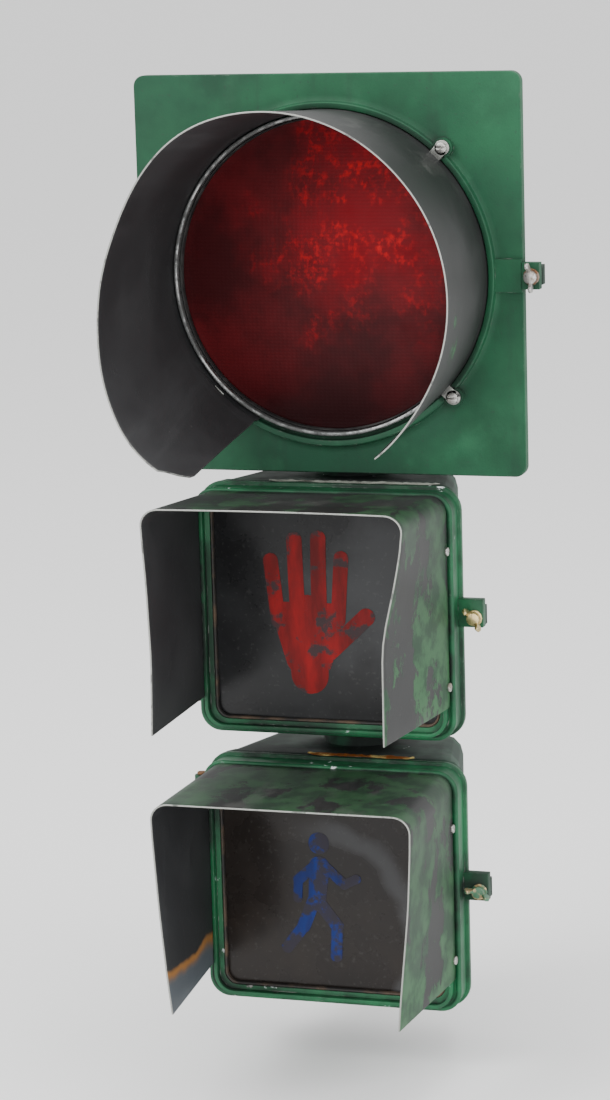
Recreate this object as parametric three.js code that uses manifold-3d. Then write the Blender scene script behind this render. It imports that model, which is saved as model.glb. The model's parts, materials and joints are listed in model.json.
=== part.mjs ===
// A three-section pedestrian traffic signal that hangs from a pipe: one 12-inch round red section
// over two 9-inch square sections, each a cast housing with a hinged door, a lens, a visor, a
// reflector, a lamp and a wing-screw latch. Millimetres. +X is the viewer's right, +Y runs into
// the housings, +Z is up, and the origin is the centre of the top hub's flat face.
import * as THREE from "three";
import { mergeVertices } from "three/addons/utils/BufferGeometryUtils.js";
import Module from "manifold-3d";

const wasm = await Module();
wasm.setup();

// ---------------------------------------------------------------- clearances
const GAP = 0.3; // between two pieces that seat on each other
const ROUND_GAP = 1; // between large nested circles, whose flats come closer than their corners
const SWING_CLEARANCE = 0.9; // round the latch screw, whose door swings it out of the housing lug

// ---------------------------------------------------------------- castings and sheet
const WALL = 4; // housing wall
const DOOR_FACE = 4; // thickness of a door's front face
const RIM_DEPTH = 7; // how deep the thickened rim of a housing is
const BACK_ROUND = 16; // radius of a housing's back edge
const POST_RADIUS = 6; // of the reflector posts in a housing
const LUG_SIDE = 2.6; // casting beside the latch screw's hole
const LUG_END = 5; // and above and below it
const SHEET = 1.5; // visor sheet metal

// ---------------------------------------------------------------- pipe hubs and couplings
const PIPE_RADIUS = 19; // outside of the nipples that join the sections
const PIPE_WALL = 3.5;
const HUB_RADIUS = PIPE_RADIUS + 15;
const HUB_RISE = 8.2; // how far a hub stands out of its section
const COUPLING_RING = 7.2; // thickness of the ring between two hubs
const NUT_RADIUS = PIPE_RADIUS + 6;
const NUT_HEIGHT = 6;
const CAP_THICKNESS = 6;

// ---------------------------------------------------------------- round section
const LENS_RADIUS = 152.7; // the glass out to its rim
const LENS_BITE = 8; // how far the gasket covers the rim
const LENS_DOME = 14;
const RING_RADIUS = LENS_RADIUS + 5.3; // outside of the raised ring round the visor
const RING_HEIGHT = 6;
const PLATE = 2 * (RING_RADIUS + 25); // side of the square door plate
const PLATE_CORNER = 10;
const PLATE_DEPTH = 10; // depth of the door, over its turned lip
const LIP = 3.5;
const HOUSING_STEP = 17; // the housing's wall is this far inside the plate's edge
const LARGE_HOUSING = {
  width: PLATE - 2 * HOUSING_STEP, height: PLATE - 2 * HOUSING_STEP,
  depth: 155, corner: 22, taperX: 30, taperZ: 12,
};
const LARGE_RIM = { outer: 1.5, inner: 2 }; // how far the rim stands out of and into the wall
const LARGE_FRONT = 62; // hub axis to the front face of the door plate
const LUG_RADIUS = 9; // visor screw lugs on the ring
const LUG_CIRCLE = RING_RADIUS + 3;
const LUG_ANGLES = [46, 134, 225, 317];
const RING_WALL = 7; // of the raised ring, from its outside to the visor
const SHELF_DEPTH = 6; // door face to the back of the shelf that the gasket seats on
const VISOR_SEAT = 3; // depth of the recess for the visor and the bezel
const BEZEL_HEIGHT = 5;
const RETAINER_POST = { radius: 5, out: 7, tapped: 1.6, depth: 6 }; // out is measured from the gasket
const VISOR_SCREW = { radius: 2, head: 5, height: 3, slot: 1.4, slotDepth: 1.2 };
const TAB_REACH = 7; // of a visor's tab past its screw

// ---------------------------------------------------------------- square sections
const DOOR_WIDTH = 247;
const DOOR_HEIGHT = 230.5;
const DOOR_DEPTH = 30;
const DOOR_CORNER = 20;
const FLANGE = 2.1; // how far the rear flange stands out of the bead
const FLANGE_DEPTH = 6;
const BEAD_RADIUS = 2.6;
const BORDER = 15; // face from the bead to the lens opening
const OPENING_CORNER = 13;
const COLLAR_INSET = 6.6; // bead to the collar that the visor slips over
const COLLAR_HEIGHT = 6;
const COLLAR_WALL = 3.6;
const COLLAR_CORNER = 19;
const SMALL_HOUSING = {
  width: DOOR_WIDTH - 11, height: DOOR_HEIGHT + 4.5, depth: 124.2, corner: 18, taperX: 29, taperZ: 3,
};
const SMALL_RIM = { outer: 2.5, inner: 6 };
const SMALL_FRONT = 104.5; // hub axis to the front of the bead
const CAVITY_INSET = { x: 4.5, z: 3.2 }; // outside of the door to the space behind its face
const PANE_MARGIN = 4.7; // how far the glass reaches past the opening
const PANE_CORNER = 14;
const RETAINER_WIDTH = 10;

// ---------------------------------------------------------------- lens seats
const GLASS = 4;
const GASKET_LIP = 1.8;
const GASKET_BACK = 3; // rubber outside the rim of the glass
const RETAINER = 1.6;
const DOOR_SEAL = 4.2; // width of the seal between door and housing

// ---------------------------------------------------------------- visors
const ROUND_VISOR_LENGTH = 178.5; // in front of the door plate
const ROUND_VISOR_FLARE = 9; // growth in radius from base to rim
const ROUND_CUT = { leftBase: 242, leftRim: 243, rightBase: -46, rightRim: -56 };
const SQUARE_VISOR_LENGTH = 151.7; // in front of the bead
const SQUARE_VISOR_SKIRT = 97; // the side panels reach this far below the section's centre
const SQUARE_VISOR_SPREAD = 3; // the rim is this much wider at its top than the base
const SQUARE_VISOR_PINCH = 13; // and this much narrower at its lower tips

// ---------------------------------------------------------------- hinges and latches
const PIN_RADIUS = 2.6;
const KNUCKLE_HEIGHT = 12;
const PIN_HEAD = { over: 2, height: 2.2 };
const PIN_TAIL = 3; // how far a pin stands out below its ear
const SCREW_RADIUS = 3;
const LATCH_BITE = 9; // length of screw inside the housing lug
const WING_THICKNESS = 3;
const HEAD_RADIUS = 6;
const HEAD_HEIGHT = 5.6;
const WASHER = 1.6;
const WASHER_RIM = 1.6; // how far the washer reaches past the screw's head
const LARGE_HINGE = { in: 7.5, back: 18.5, knuckle: 6, height: 104 };
const SMALL_HINGE = { out: 12, back: 32, knuckle: 7, height: 80 };
const LARGE_LATCH = {
  out: 8.5, width: 15.5, top: 12.5, bottom: 11.5, drop: 0, front: 3, thick: 10, wing: 13.5,
};
const SMALL_LATCH = {
  out: 14.5, width: 22.5, top: 14.5, bottom: 11.5, drop: 2.5, front: -19.5, thick: 10, wing: 12.6,
};

// ---------------------------------------------------------------- optics and wiring
const REFLECTOR = 2; // spun sheet
const REFLECTOR_NECK = 22; // hole at the back for the lamp
const LAMP_GLOBE = 30;
const LAMP_BASE = 13;
const SOCKET_WALL = 5;
const LEAD_RADIUS = 2.6;
const TERMINALS = { width: 84, height: 20, depth: 18, above: 20, rib: 2.4, spaces: 6 };

const RING_STEPS = 36; // facets of the large circles
const DISH_STEPS = 24; // of the reflector
const HUB_STEPS = 20;
const SMALL_STEPS = 12;
const POST_STEPS = 8;
const CORNER_STEPS = 3;

// ================================================================ helpers

// A closed three.js geometry as a manifold solid, with its faces pointing out.
function solid(geometry) {
  const bare = geometry.index ? geometry.toNonIndexed() : geometry.clone();
  bare.deleteAttribute("normal");
  bare.deleteAttribute("uv");
  const merged = mergeVertices(bare, 1e-4);
  const corners = [];
  const index = merged.index.array;
  for (let i = 0; i < index.length; i += 3) {
    const [a, b, c] = [index[i], index[i + 1], index[i + 2]];
    if (a !== b && b !== c && c !== a) corners.push(a, b, c);
  }
  const make = (list) =>
    new wasm.Manifold(
      new wasm.Mesh({
        numProp: 3,
        vertProperties: merged.attributes.position.array,
        triVerts: new Uint32Array(list),
      }),
    );
  const made = make(corners);
  return made.volume() > 0 ? made : make(corners.reverse());
}

// A manifold solid back as a three.js geometry.
function geometryOf(made) {
  const mesh = made.getMesh();
  const position = new Float32Array(mesh.numVert * 3);
  for (let i = 0; i < mesh.numVert; i++)
    position.set(mesh.vertProperties.subarray(i * mesh.numProp, i * mesh.numProp + 3), i * 3);
  const geometry = new THREE.BufferGeometry();
  geometry.setAttribute("position", new THREE.BufferAttribute(position, 3));
  geometry.setIndex(new THREE.BufferAttribute(mesh.triVerts, 1));
  geometry.computeVertexNormals();
  return geometry;
}

const join = (pieces) => pieces.reduce((all, piece) => all.add(piece));
const cut = (body, pieces) => pieces.reduce((all, piece) => all.subtract(piece), body);

function box(x0, x1, y0, y1, z0, z1) {
  const geometry = new THREE.BoxGeometry(x1 - x0, y1 - y0, z1 - z0);
  return solid(geometry.translate((x0 + x1) / 2, (y0 + y1) / 2, (z0 + z1) / 2));
}

// A cylinder along Y (depth) or Z (up), centred on (x, other) and running from low to high.
function rodY(x, z, radius, low, high, steps = SMALL_STEPS) {
  const geometry = new THREE.CylinderGeometry(radius, radius, high - low, steps);
  return solid(geometry.translate(x, (low + high) / 2, z));
}

function rodZ(x, y, radius, low, high, steps = SMALL_STEPS) {
  const geometry = new THREE.CylinderGeometry(radius, radius, high - low, steps);
  return solid(geometry.rotateX(Math.PI / 2).translate(x, y, (low + high) / 2));
}

// A solid of revolution about Y from (radius, y) points, closed on itself when it is a ring.
function spun(points, steps = RING_STEPS) {
  const profile = points.map(([radius, y]) => new THREE.Vector2(radius, y));
  if (points[0][0] > 0) profile.push(profile[0].clone());
  return solid(new THREE.LatheGeometry(profile, steps));
}

// The outline of a rounded rectangle of half sizes w and h, as [x, z] points.
function outline(w, h, corner, steps = CORNER_STEPS) {
  const points = [];
  const [x, z] = [w - corner, h - corner];
  const centres = [[x, z], [-x, z], [-x, -z], [x, -z]];
  centres.forEach(([cx, cz], quarter) => {
    for (let i = 0; i <= steps; i++) {
      const angle = (quarter + i / steps) * (Math.PI / 2);
      points.push([cx + corner * Math.cos(angle), cz + corner * Math.sin(angle)]);
    }
  });
  return points;
}

// A solid skinned over outlines of equal length, each {y, points}.
function loft(rings) {
  const count = rings[0].points.length;
  const position = rings.flatMap(({ y, points }) => points.flatMap(([x, z]) => [x, y, z]));
  const index = [];
  for (let row = 0; row + 1 < rings.length; row++)
    for (let i = 0; i < count; i++) {
      const a = row * count + i;
      const b = row * count + ((i + 1) % count);
      index.push(a, b, a + count, b, b + count, a + count);
    }
  const last = (rings.length - 1) * count;
  for (let i = 1; i + 1 < count; i++) {
    index.push(0, i + 1, i);
    index.push(last, last + i, last + i + 1);
  }
  const geometry = new THREE.BufferGeometry();
  geometry.setAttribute("position", new THREE.Float32BufferAttribute(position, 3));
  geometry.setIndex(index);
  return solid(geometry);
}

// A rounded block of half sizes w and h between two depths.
const block = (w, h, corner, low, high) =>
  loft([
    { y: low, points: outline(w, h, corner) },
    { y: high, points: outline(w, h, corner) },
  ]);

// A frame of rounded corners: an outer block less an inner one that is narrower all round.
const frameOf = (w, h, corner, width, low, high) =>
  block(w, h, corner, low, high).subtract(
    block(w - width, h - width, Math.max(corner - width, 1), low - 1, high + 1),
  );

// Sheet metal bent along open paths of [x, z] points, one path at each depth.
function bentSheet(rows, thickness) {
  const count = rows[0].points.length;
  const position = [];
  for (const { y, points } of rows)
    points.forEach(([x, z], i) => {
      const before = points[Math.max(i - 1, 0)];
      const after = points[Math.min(i + 1, count - 1)];
      const along = new THREE.Vector2(after[0] - before[0], after[1] - before[1]).normalize();
      for (const side of [0.5, -0.5])
        position.push(x + along.y * thickness * side, y, z - along.x * thickness * side);
    });
  const at = (row, i, side) => (row * count + i) * 2 + side;
  const index = [];
  const quad = (a, b, c, d) => index.push(a, b, c, a, c, d);
  for (let row = 0; row + 1 < rows.length; row++) {
    for (let i = 0; i + 1 < count; i++) {
      quad(at(row, i, 0), at(row, i + 1, 0), at(row + 1, i + 1, 0), at(row + 1, i, 0));
      quad(at(row, i, 1), at(row + 1, i, 1), at(row + 1, i + 1, 1), at(row, i + 1, 1));
    }
    quad(at(row, 0, 0), at(row + 1, 0, 0), at(row + 1, 0, 1), at(row, 0, 1));
    const end = count - 1;
    quad(at(row, end, 0), at(row, end, 1), at(row + 1, end, 1), at(row + 1, end, 0));
  }
  const lastRow = rows.length - 1;
  for (let i = 0; i + 1 < count; i++) {
    quad(at(0, i, 0), at(0, i, 1), at(0, i + 1, 1), at(0, i + 1, 0));
    quad(at(lastRow, i, 0), at(lastRow, i + 1, 0), at(lastRow, i + 1, 1), at(lastRow, i, 1));
  }
  const geometry = new THREE.BufferGeometry();
  geometry.setAttribute("position", new THREE.Float32BufferAttribute(position, 3));
  geometry.setIndex(index);
  return solid(geometry);
}

// ================================================================ finishes
const finish = (color, roughness, metalness) =>
  new THREE.MeshStandardMaterial({ color, roughness, metalness });
const GREEN = () => finish(0x3f7d5e, 0.55, 0.1);
const CHARCOAL = () => finish(0x37383b, 0.6, 0.1);
const RUBBER = () => finish(0x1b1b1c, 0.85, 0);
const STEEL = () => finish(0xa9a8a2, 0.4, 0.9);
const ALUMINIUM = () => finish(0xb5b6b4, 0.45, 0.9);
const BRASS = () => finish(0xa98b45, 0.4, 0.9);
const MIRROR = () => finish(0xd5d8da, 0.15, 1);
const CERAMIC = () => finish(0xe2ddd0, 0.6, 0);
const CLEAR = () => finish(0xf2efe6, 0.1, 0);

const signal = new THREE.Group();

function add(group, name, made, material) {
  const mesh = new THREE.Mesh(geometryOf(made), material);
  mesh.name = name;
  group.add(mesh);
}

// ================================================================ sections

// What the two kinds of section share: where the door's front face and the housing's rim lie.
const LARGE = {
  housing: LARGE_HOUSING,
  rim: LARGE_RIM,
  front: -LARGE_FRONT,
  rimFront: -LARGE_FRONT + PLATE_DEPTH,
};
const SMALL = {
  housing: SMALL_HOUSING,
  rim: SMALL_RIM,
  front: -SMALL_FRONT,
  rimFront: -SMALL_FRONT + DOOR_DEPTH + GAP,
};
for (const kind of [LARGE, SMALL]) {
  kind.back = kind.rimFront + kind.housing.depth;
  kind.halfHeight = kind.housing.height / 2;
  kind.hubLength = HUB_RISE + WALL + kind.housing.taperZ + 1; // from a hub's face to its inner pad
}
const JOINT_HEIGHT = HUB_RISE + GAP + COUPLING_RING + GAP + HUB_RISE;
const RED_Z = -(HUB_RISE + LARGE.halfHeight);
const WAIT_Z = RED_Z - LARGE.halfHeight - JOINT_HEIGHT - SMALL.halfHeight;
const WALK_Z = WAIT_Z - JOINT_HEIGHT - 2 * SMALL.halfHeight;

// A drafted box, open at the front, whose back edge is rounded. inset makes the cavity in it.
function drafted(kind, inset, frontExtra) {
  const { width, height, corner, taperX, taperZ } = kind.housing;
  const round = BACK_ROUND;
  const back = kind.back - inset;
  const at = (y, shrink) => {
    const along = (y - kind.rimFront) / (kind.back - kind.rimFront);
    const w = width / 2 - inset - taperX * along - shrink;
    const h = height / 2 - inset - taperZ * along - shrink;
    return { y, points: outline(w, h, Math.max(corner - inset, 3)) };
  };
  const rings = [at(kind.rimFront - frontExtra, 0), at(back - round, 0)];
  for (const degrees of [45, 90]) {
    const angle = (degrees * Math.PI) / 180;
    rings.push(at(back - round + round * Math.sin(angle), round * (1 - Math.cos(angle)) * 0.8));
  }
  return loft(rings);
}

// A cast housing with its rim, hubs above and below, hinge ears, latch lug and reflector posts.
function housing(kind, hinge, latch, posts) {
  const { width, height, corner } = kind.housing;
  const rim = kind.rim;
  const outer = drafted(kind, 0, 0);
  const cavity = drafted(kind, WALL, 1);
  const rimBlock = block(
    width / 2 + rim.outer, height / 2, corner, kind.rimFront, kind.rimFront + RIM_DEPTH,
  );
  const rimHole = block(
    width / 2 - WALL - rim.inner, height / 2 - WALL - rim.inner, corner - WALL,
    kind.rimFront - 1, kind.rimFront + RIM_DEPTH + 1,
  );
  const shell = cut(outer, [cavity]);
  const rimRing = rimBlock.subtract(rimHole);
  const hubs = [1, -1].map((side) => {
    const face = side * (height / 2 + HUB_RISE);
    const pad = face - side * kind.hubLength;
    return rodZ(0, 0, HUB_RADIUS, Math.min(face, pad), Math.max(face, pad), HUB_STEPS);
  });
  const bores = rodZ(0, 0, PIPE_RADIUS + GAP, -height, height, HUB_STEPS);
  const bosses = posts.map(([x, z, y]) => rodY(x, z, POST_RADIUS, y, kind.back - WALL / 2, POST_STEPS));
  const inside = join(bosses).intersect(outer);
  const ears = [1, -1].map((side) => housingEar(kind, hinge, side));
  return cut(join([shell, rimRing, inside, ...hubs, ...ears, housingLug(kind, latch)]), [
    bores,
    ...[1, -1].map((side) => hingeHole(hinge, side)),
    rodY(latch.x, -latch.drop, SCREW_RADIUS + SWING_CLEARANCE, latch.lugFront - 1, kind.back),
  ]);
}

// Heights of one hinge: the door's knuckle rides on top of the housing's ear.
function hingeLevels(hinge, side) {
  const top = side * hinge.height + KNUCKLE_HEIGHT;
  return { top, seam: top - KNUCKLE_HEIGHT, bottom: top - 2 * KNUCKLE_HEIGHT };
}

function housingEar(kind, hinge, side) {
  const { seam, bottom } = hingeLevels(hinge, side);
  const wall = -(kind.housing.width / 2) + WALL / 2;
  const front = Math.max(hinge.y - hinge.knuckle, kind.rimFront);
  return join([
    rodZ(hinge.x, hinge.y, hinge.knuckle, bottom, seam),
    box(hinge.x, wall, front, hinge.y + hinge.knuckle, bottom, seam),
  ]);
}

const hingeHole = (hinge, side) => {
  const { top, bottom } = hingeLevels(hinge, side);
  return rodZ(hinge.x, hinge.y, PIN_RADIUS + GAP, bottom - 1, top + 1 + GAP);
};

function housingLug(kind, latch) {
  const wall = kind.housing.width / 2 - WALL;
  const reach = latch.x + SCREW_RADIUS + SWING_CLEARANCE + LUG_SIDE;
  const half = SCREW_RADIUS + SWING_CLEARANCE + LUG_END;
  return box(
    wall, reach, latch.lugFront, latch.lugFront + LATCH_BITE + 1,
    -latch.drop - half, -latch.drop + half,
  );
}

function hingePin(hinge, side) {
  const { top, bottom } = hingeLevels(hinge, side);
  const seat = top + 2 * GAP;
  return rodZ(hinge.x, hinge.y, PIN_RADIUS, bottom - PIN_TAIL, seat + 1).add(
    rodZ(hinge.x, hinge.y, PIN_RADIUS + PIN_HEAD.over, seat, seat + PIN_HEAD.height),
  );
}

// A knuckle on the door, one gap above the housing's ear, with an arm forward to the door.
function doorKnuckle(hinge, side, armX0, armX1, armY0, armY1) {
  const { top, seam } = hingeLevels(hinge, side);
  return join([
    rodZ(hinge.x, hinge.y, hinge.knuckle, seam + GAP, top + GAP),
    box(armX0, armX1, armY0, armY1, seam + GAP, top + GAP),
  ]);
}

// The wing screw rides on the door's lug: a washer that backs out with it, and the screw itself.
function latchPieces(group, prefix, latch) {
  const seat = latch.face - GAP;
  const washer = cut(rodY(latch.x, -latch.drop, HEAD_RADIUS + WASHER_RIM, seat - WASHER, seat), [
    rodY(latch.x, -latch.drop, SCREW_RADIUS + GAP, seat - WASHER - 1, seat + 1),
  ]);
  add(group, prefix + "_latch_washer", washer, BRASS());
  const under = seat - WASHER - GAP;
  const tip = latch.lugFront + LATCH_BITE;
  const head = rodY(latch.x, -latch.drop, HEAD_RADIUS, under - HEAD_HEIGHT, under);
  const shank = rodY(latch.x, -latch.drop, SCREW_RADIUS, under - 1, tip);
  const wings = [-1, 1].map((side) => wing(latch, under, side));
  add(group, prefix + "_wing_screw", join([head, shank, ...wings]), STEEL());
}

// One wing: an ear that leans forward and outward from the head.
function wing(latch, under, side) {
  const ear = new THREE.Shape();
  const root = HEAD_RADIUS - 2;
  ear.moveTo(root, 0);
  ear.lineTo(HEAD_RADIUS + 1, 1);
  ear.quadraticCurveTo(latch.wing, 4, latch.wing, 10);
  ear.quadraticCurveTo(latch.wing - 2, 14, latch.wing - 5, 12.5);
  ear.quadraticCurveTo(HEAD_RADIUS + 1, HEAD_HEIGHT + 3, root, HEAD_HEIGHT - 0.6);
  const geometry = new THREE.ExtrudeGeometry(ear, {
    depth: WING_THICKNESS,
    bevelEnabled: false,
    curveSegments: 4,
  });
  geometry.translate(0, 0, -WING_THICKNESS / 2); // ear in the XY plane, thin along Z
  geometry.rotateX(Math.PI); // wings point forward, to -Y
  geometry.rotateY(side > 0 ? latch.turn : latch.turn + Math.PI);
  return solid(geometry.translate(latch.x, under, -latch.drop));
}

// ---------------------------------------------------------------- optics inside a section
function lampAndSocket(group, prefix, neckY, seatY) {
  const baseEnd = seatY - SOCKET_WALL - 5;
  const globe = neckY - 42;
  const lamp = [[0, globe - LAMP_GLOBE]];
  for (let i = 1; i <= 6; i++) {
    const angle = (i / 6) * THREE.MathUtils.degToRad(140);
    lamp.push([LAMP_GLOBE * Math.sin(angle), globe - LAMP_GLOBE * Math.cos(angle)]);
  }
  lamp.push([LAMP_BASE, neckY + 2], [LAMP_BASE, baseEnd - 4], [LAMP_BASE - 7, baseEnd], [0, baseEnd]);
  add(group, prefix + "_lamp", spun(lamp, SMALL_STEPS), CLEAR());
  const inner = LAMP_BASE + GAP;
  const socket = spun([
    [0, seatY], [28, seatY], [28, seatY - SOCKET_WALL], [inner + SOCKET_WALL, seatY - SOCKET_WALL],
    [inner + SOCKET_WALL, neckY + 3], [inner, neckY + 3], [inner, baseEnd + GAP], [0, baseEnd + GAP],
  ], SMALL_STEPS);
  add(group, prefix + "_lamp_socket", socket, CERAMIC());
}

// ---------------------------------------------------------------- the round red section
function redSection() {
  const group = new THREE.Group();
  group.position.z = RED_Z;
  const half = PLATE / 2;
  const front = LARGE.front;
  const behind = front + DOOR_FACE;
  const hinge = { ...LARGE_HINGE, x: -(half - LARGE_HINGE.in), y: front + LARGE_HINGE.back };
  const latch = {
    ...LARGE_LATCH,
    x: half + LARGE_LATCH.out,
    face: front - LARGE_LATCH.front,
    lugFront: front + PLATE_DEPTH + 2,
    turn: THREE.MathUtils.degToRad(82),
  };
  const seatY = front + SHELF_DEPTH + GAP; // front of the lens gasket, behind the door's inner shelf
  const lensY = seatY + GASKET_LIP + GAP;
  const visible = LENS_RADIUS - LENS_BITE;
  const shelf = visible + 2;
  const seatOuter = LENS_RADIUS + GAP + GASKET_BACK;
  const visorOuter = RING_RADIUS - RING_WALL;
  const post = seatOuter + RETAINER_POST.out;

  const angles = LUG_ANGLES.map((degrees) => THREE.MathUtils.degToRad(degrees));
  const lugs = angles.map((a) => [LUG_CIRCLE * Math.cos(a), LUG_CIRCLE * Math.sin(a)]);
  const diagonal = [45, 135, 225, 315].map(THREE.MathUtils.degToRad);
  const corners = diagonal.map((a) => [post * Math.cos(a), post * Math.sin(a)]);
  const retainerY = seatY + 2 * (GASKET_LIP + GAP) + GLASS + GAP;

  const reflectorY = retainerY + RETAINER + 5;
  const postCircle = LARGE.halfHeight - 9;
  const postFront = reflectorY + REFLECTOR + GAP;
  const posts = diagonal.map((a) => [postCircle * Math.cos(a), postCircle * Math.sin(a), postFront]);
  add(group, "red_housing", housing(LARGE, hinge, latch, posts), GREEN());

  // The door: plate, turned lip, raised ring, screw lugs, retainer posts, latch pad and knuckles.
  const plate = block(half, half, PLATE_CORNER, front, behind);
  const lip = frameOf(half, half, PLATE_CORNER, LIP, front, front + PLATE_DEPTH);
  const ring = rodY(0, 0, RING_RADIUS, front - RING_HEIGHT, front + SHELF_DEPTH, RING_STEPS);
  const screwLugs = lugs.map(([x, z]) => rodY(x, z, LUG_RADIUS, front - RING_HEIGHT, behind));
  const retainerPosts = corners.map(([x, z]) =>
    rodY(x, z, RETAINER_POST.radius, front + 1, retainerY - GAP, POST_STEPS));
  const padWide = box(RING_RADIUS - 5, half, latch.face, behind, -latch.bottom - 3, latch.top + 3);
  const tab = box(
    half - 1, half + latch.width, latch.face, latch.face + latch.thick, -latch.bottom, latch.top,
  );
  const knuckles = [1, -1].map((side) =>
    doorKnuckle(hinge, side, hinge.x - 4, hinge.x + 4, behind - 1, hinge.y));
  const door = cut(join([plate, lip, ring, ...screwLugs, ...retainerPosts, padWide, tab, ...knuckles]), [
    rodY(0, 0, visorOuter + ROUND_GAP, front - RING_HEIGHT - 1, front + VISOR_SEAT, RING_STEPS),
    rodY(0, 0, shelf, front, front + SHELF_DEPTH + 1, RING_STEPS),
    ...lugs.map(([x, z]) =>
      rodY(x, z, VISOR_SCREW.radius + GAP, front - RING_HEIGHT - 1, front + VISOR_SEAT, POST_STEPS)),
    ...corners.map(([x, z]) =>
      rodY(x, z, RETAINER_POST.tapped, retainerY - RETAINER_POST.depth, retainerY + 1, POST_STEPS)),
    rodY(latch.x, -latch.drop, SCREW_RADIUS + GAP, latch.face - 1, latch.face + latch.thick + 1),
    ...[1, -1].map((side) => hingeHole(hinge, side)),
  ]);
  add(group, "red_door", door, GREEN());

  const sealOuter = LARGE_HOUSING.width / 2 + LARGE_RIM.outer - GAP;
  const seal = frameOf(
    sealOuter, LARGE_HOUSING.height / 2 - GAP, LARGE_HOUSING.corner, DOOR_SEAL,
    behind + GAP, front + PLATE_DEPTH - GAP,
  );
  add(group, "red_door_seal", seal, RUBBER());

  // The visor ends inside the ring, and the bare bezel ends inside the visor.
  const visorMiddle = visorOuter - SHEET / 2 - ROUND_VISOR_FLARE * 0.05;
  add(group, "red_visor", roundVisor(front, visorMiddle, angles), CHARCOAL());
  const bezelOuter = visorMiddle - SHEET / 2 - ROUND_GAP;
  const bezel = spun([
    [visible, front - BEZEL_HEIGHT], [bezelOuter, front - BEZEL_HEIGHT],
    [bezelOuter, front + VISOR_SEAT - GAP], [visible, front + VISOR_SEAT - GAP],
  ]);
  add(group, "red_lens_bezel", bezel, ALUMINIUM());

  add(group, "red_lens_gasket", spun([
    [visible - 1, seatY], [seatOuter, seatY], [seatOuter, retainerY - GAP], [visible - 1, retainerY - GAP],
    [visible - 1, retainerY - GAP - GASKET_LIP], [LENS_RADIUS + GAP, retainerY - GAP - GASKET_LIP],
    [LENS_RADIUS + GAP, seatY + GASKET_LIP], [visible - 1, seatY + GASKET_LIP],
  ]), RUBBER());
  add(group, "red_lens", roundLens(lensY, visible - 1 - GAP), finish(0x6a0d12, 0.25, 0));

  const retainer = cut(
    join([
      rodY(0, 0, seatOuter, retainerY, retainerY + RETAINER, RING_STEPS),
      ...diagonal.map((a) => spoke(a, seatOuter - 3, post + 6, retainerY, retainerY + RETAINER)),
    ]),
    [
      rodY(0, 0, visible, retainerY - 1, retainerY + RETAINER + 1, RING_STEPS),
      ...corners.map(([x, z]) => rodY(x, z, 2, retainerY - 1, retainerY + RETAINER + 1, 8)),
    ],
  );
  add(group, "red_lens_retainer", retainer, STEEL());

  lugs.forEach(([x, z], i) => {
    const seat = front - RING_HEIGHT - GAP - SHEET - GAP;
    const screw = join([
      rodY(x, z, VISOR_SCREW.head, seat - VISOR_SCREW.height, seat, SMALL_STEPS),
      rodY(x, z, VISOR_SCREW.radius, seat - 1, front + 2, POST_STEPS),
    ]).subtract(box(
      x - VISOR_SCREW.head - 1, x + VISOR_SCREW.head + 1,
      seat - VISOR_SCREW.height - 1, seat - VISOR_SCREW.height + VISOR_SCREW.slotDepth,
      z - VISOR_SCREW.slot / 2, z + VISOR_SCREW.slot / 2,
    ));
    add(group, "red_visor_screw_" + (i + 1), screw, STEEL());
  });

  const neckY = LARGE.back - 46;
  const mouth = shelf - 4;
  const bowl = [];
  for (let i = 0; i <= 6; i++) {
    const along = i / 6;
    const radius = REFLECTOR_NECK + (mouth - REFLECTOR_NECK) * Math.sqrt(1 - along);
    bowl.push([radius, reflectorY + REFLECTOR + (neckY - reflectorY - REFLECTOR) * along]);
  }
  const outside = bowl.map(([radius, y]) => [radius + REFLECTOR, y + REFLECTOR * 0.6]);
  const dish = spun([...bowl, ...outside.reverse()], DISH_STEPS);
  const flange = cut(
    join([
      rodY(0, 0, mouth + 6, reflectorY, reflectorY + REFLECTOR + 1.6, DISH_STEPS),
      ...posts.map(([x, z]) => rodY(x, z, 8, reflectorY, reflectorY + REFLECTOR, 10)),
      ...diagonal.map((a) => spoke(a, mouth + 4, postCircle, reflectorY, reflectorY + REFLECTOR)),
    ]),
    [rodY(0, 0, mouth, reflectorY - 1, reflectorY + REFLECTOR + 3, DISH_STEPS)],
  );
  add(group, "red_reflector", dish.add(flange), MIRROR());
  lampAndSocket(group, "red", neckY, LARGE.back - WALL - GAP);

  add(group, "red_hinge_pin_upper", hingePin(hinge, 1), STEEL());
  add(group, "red_hinge_pin_lower", hingePin(hinge, -1), STEEL());
  latchPieces(group, "red", latch);
  return group;
}

// A flat arm in the XZ plane at an angle, from one radius to another.
function spoke(angle, from, to, low, high) {
  const geometry = new THREE.BoxGeometry(to - from, high - low, 12);
  geometry.translate((from + to) / 2, (low + high) / 2, 0).rotateY(-angle);
  return solid(geometry);
}

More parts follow.
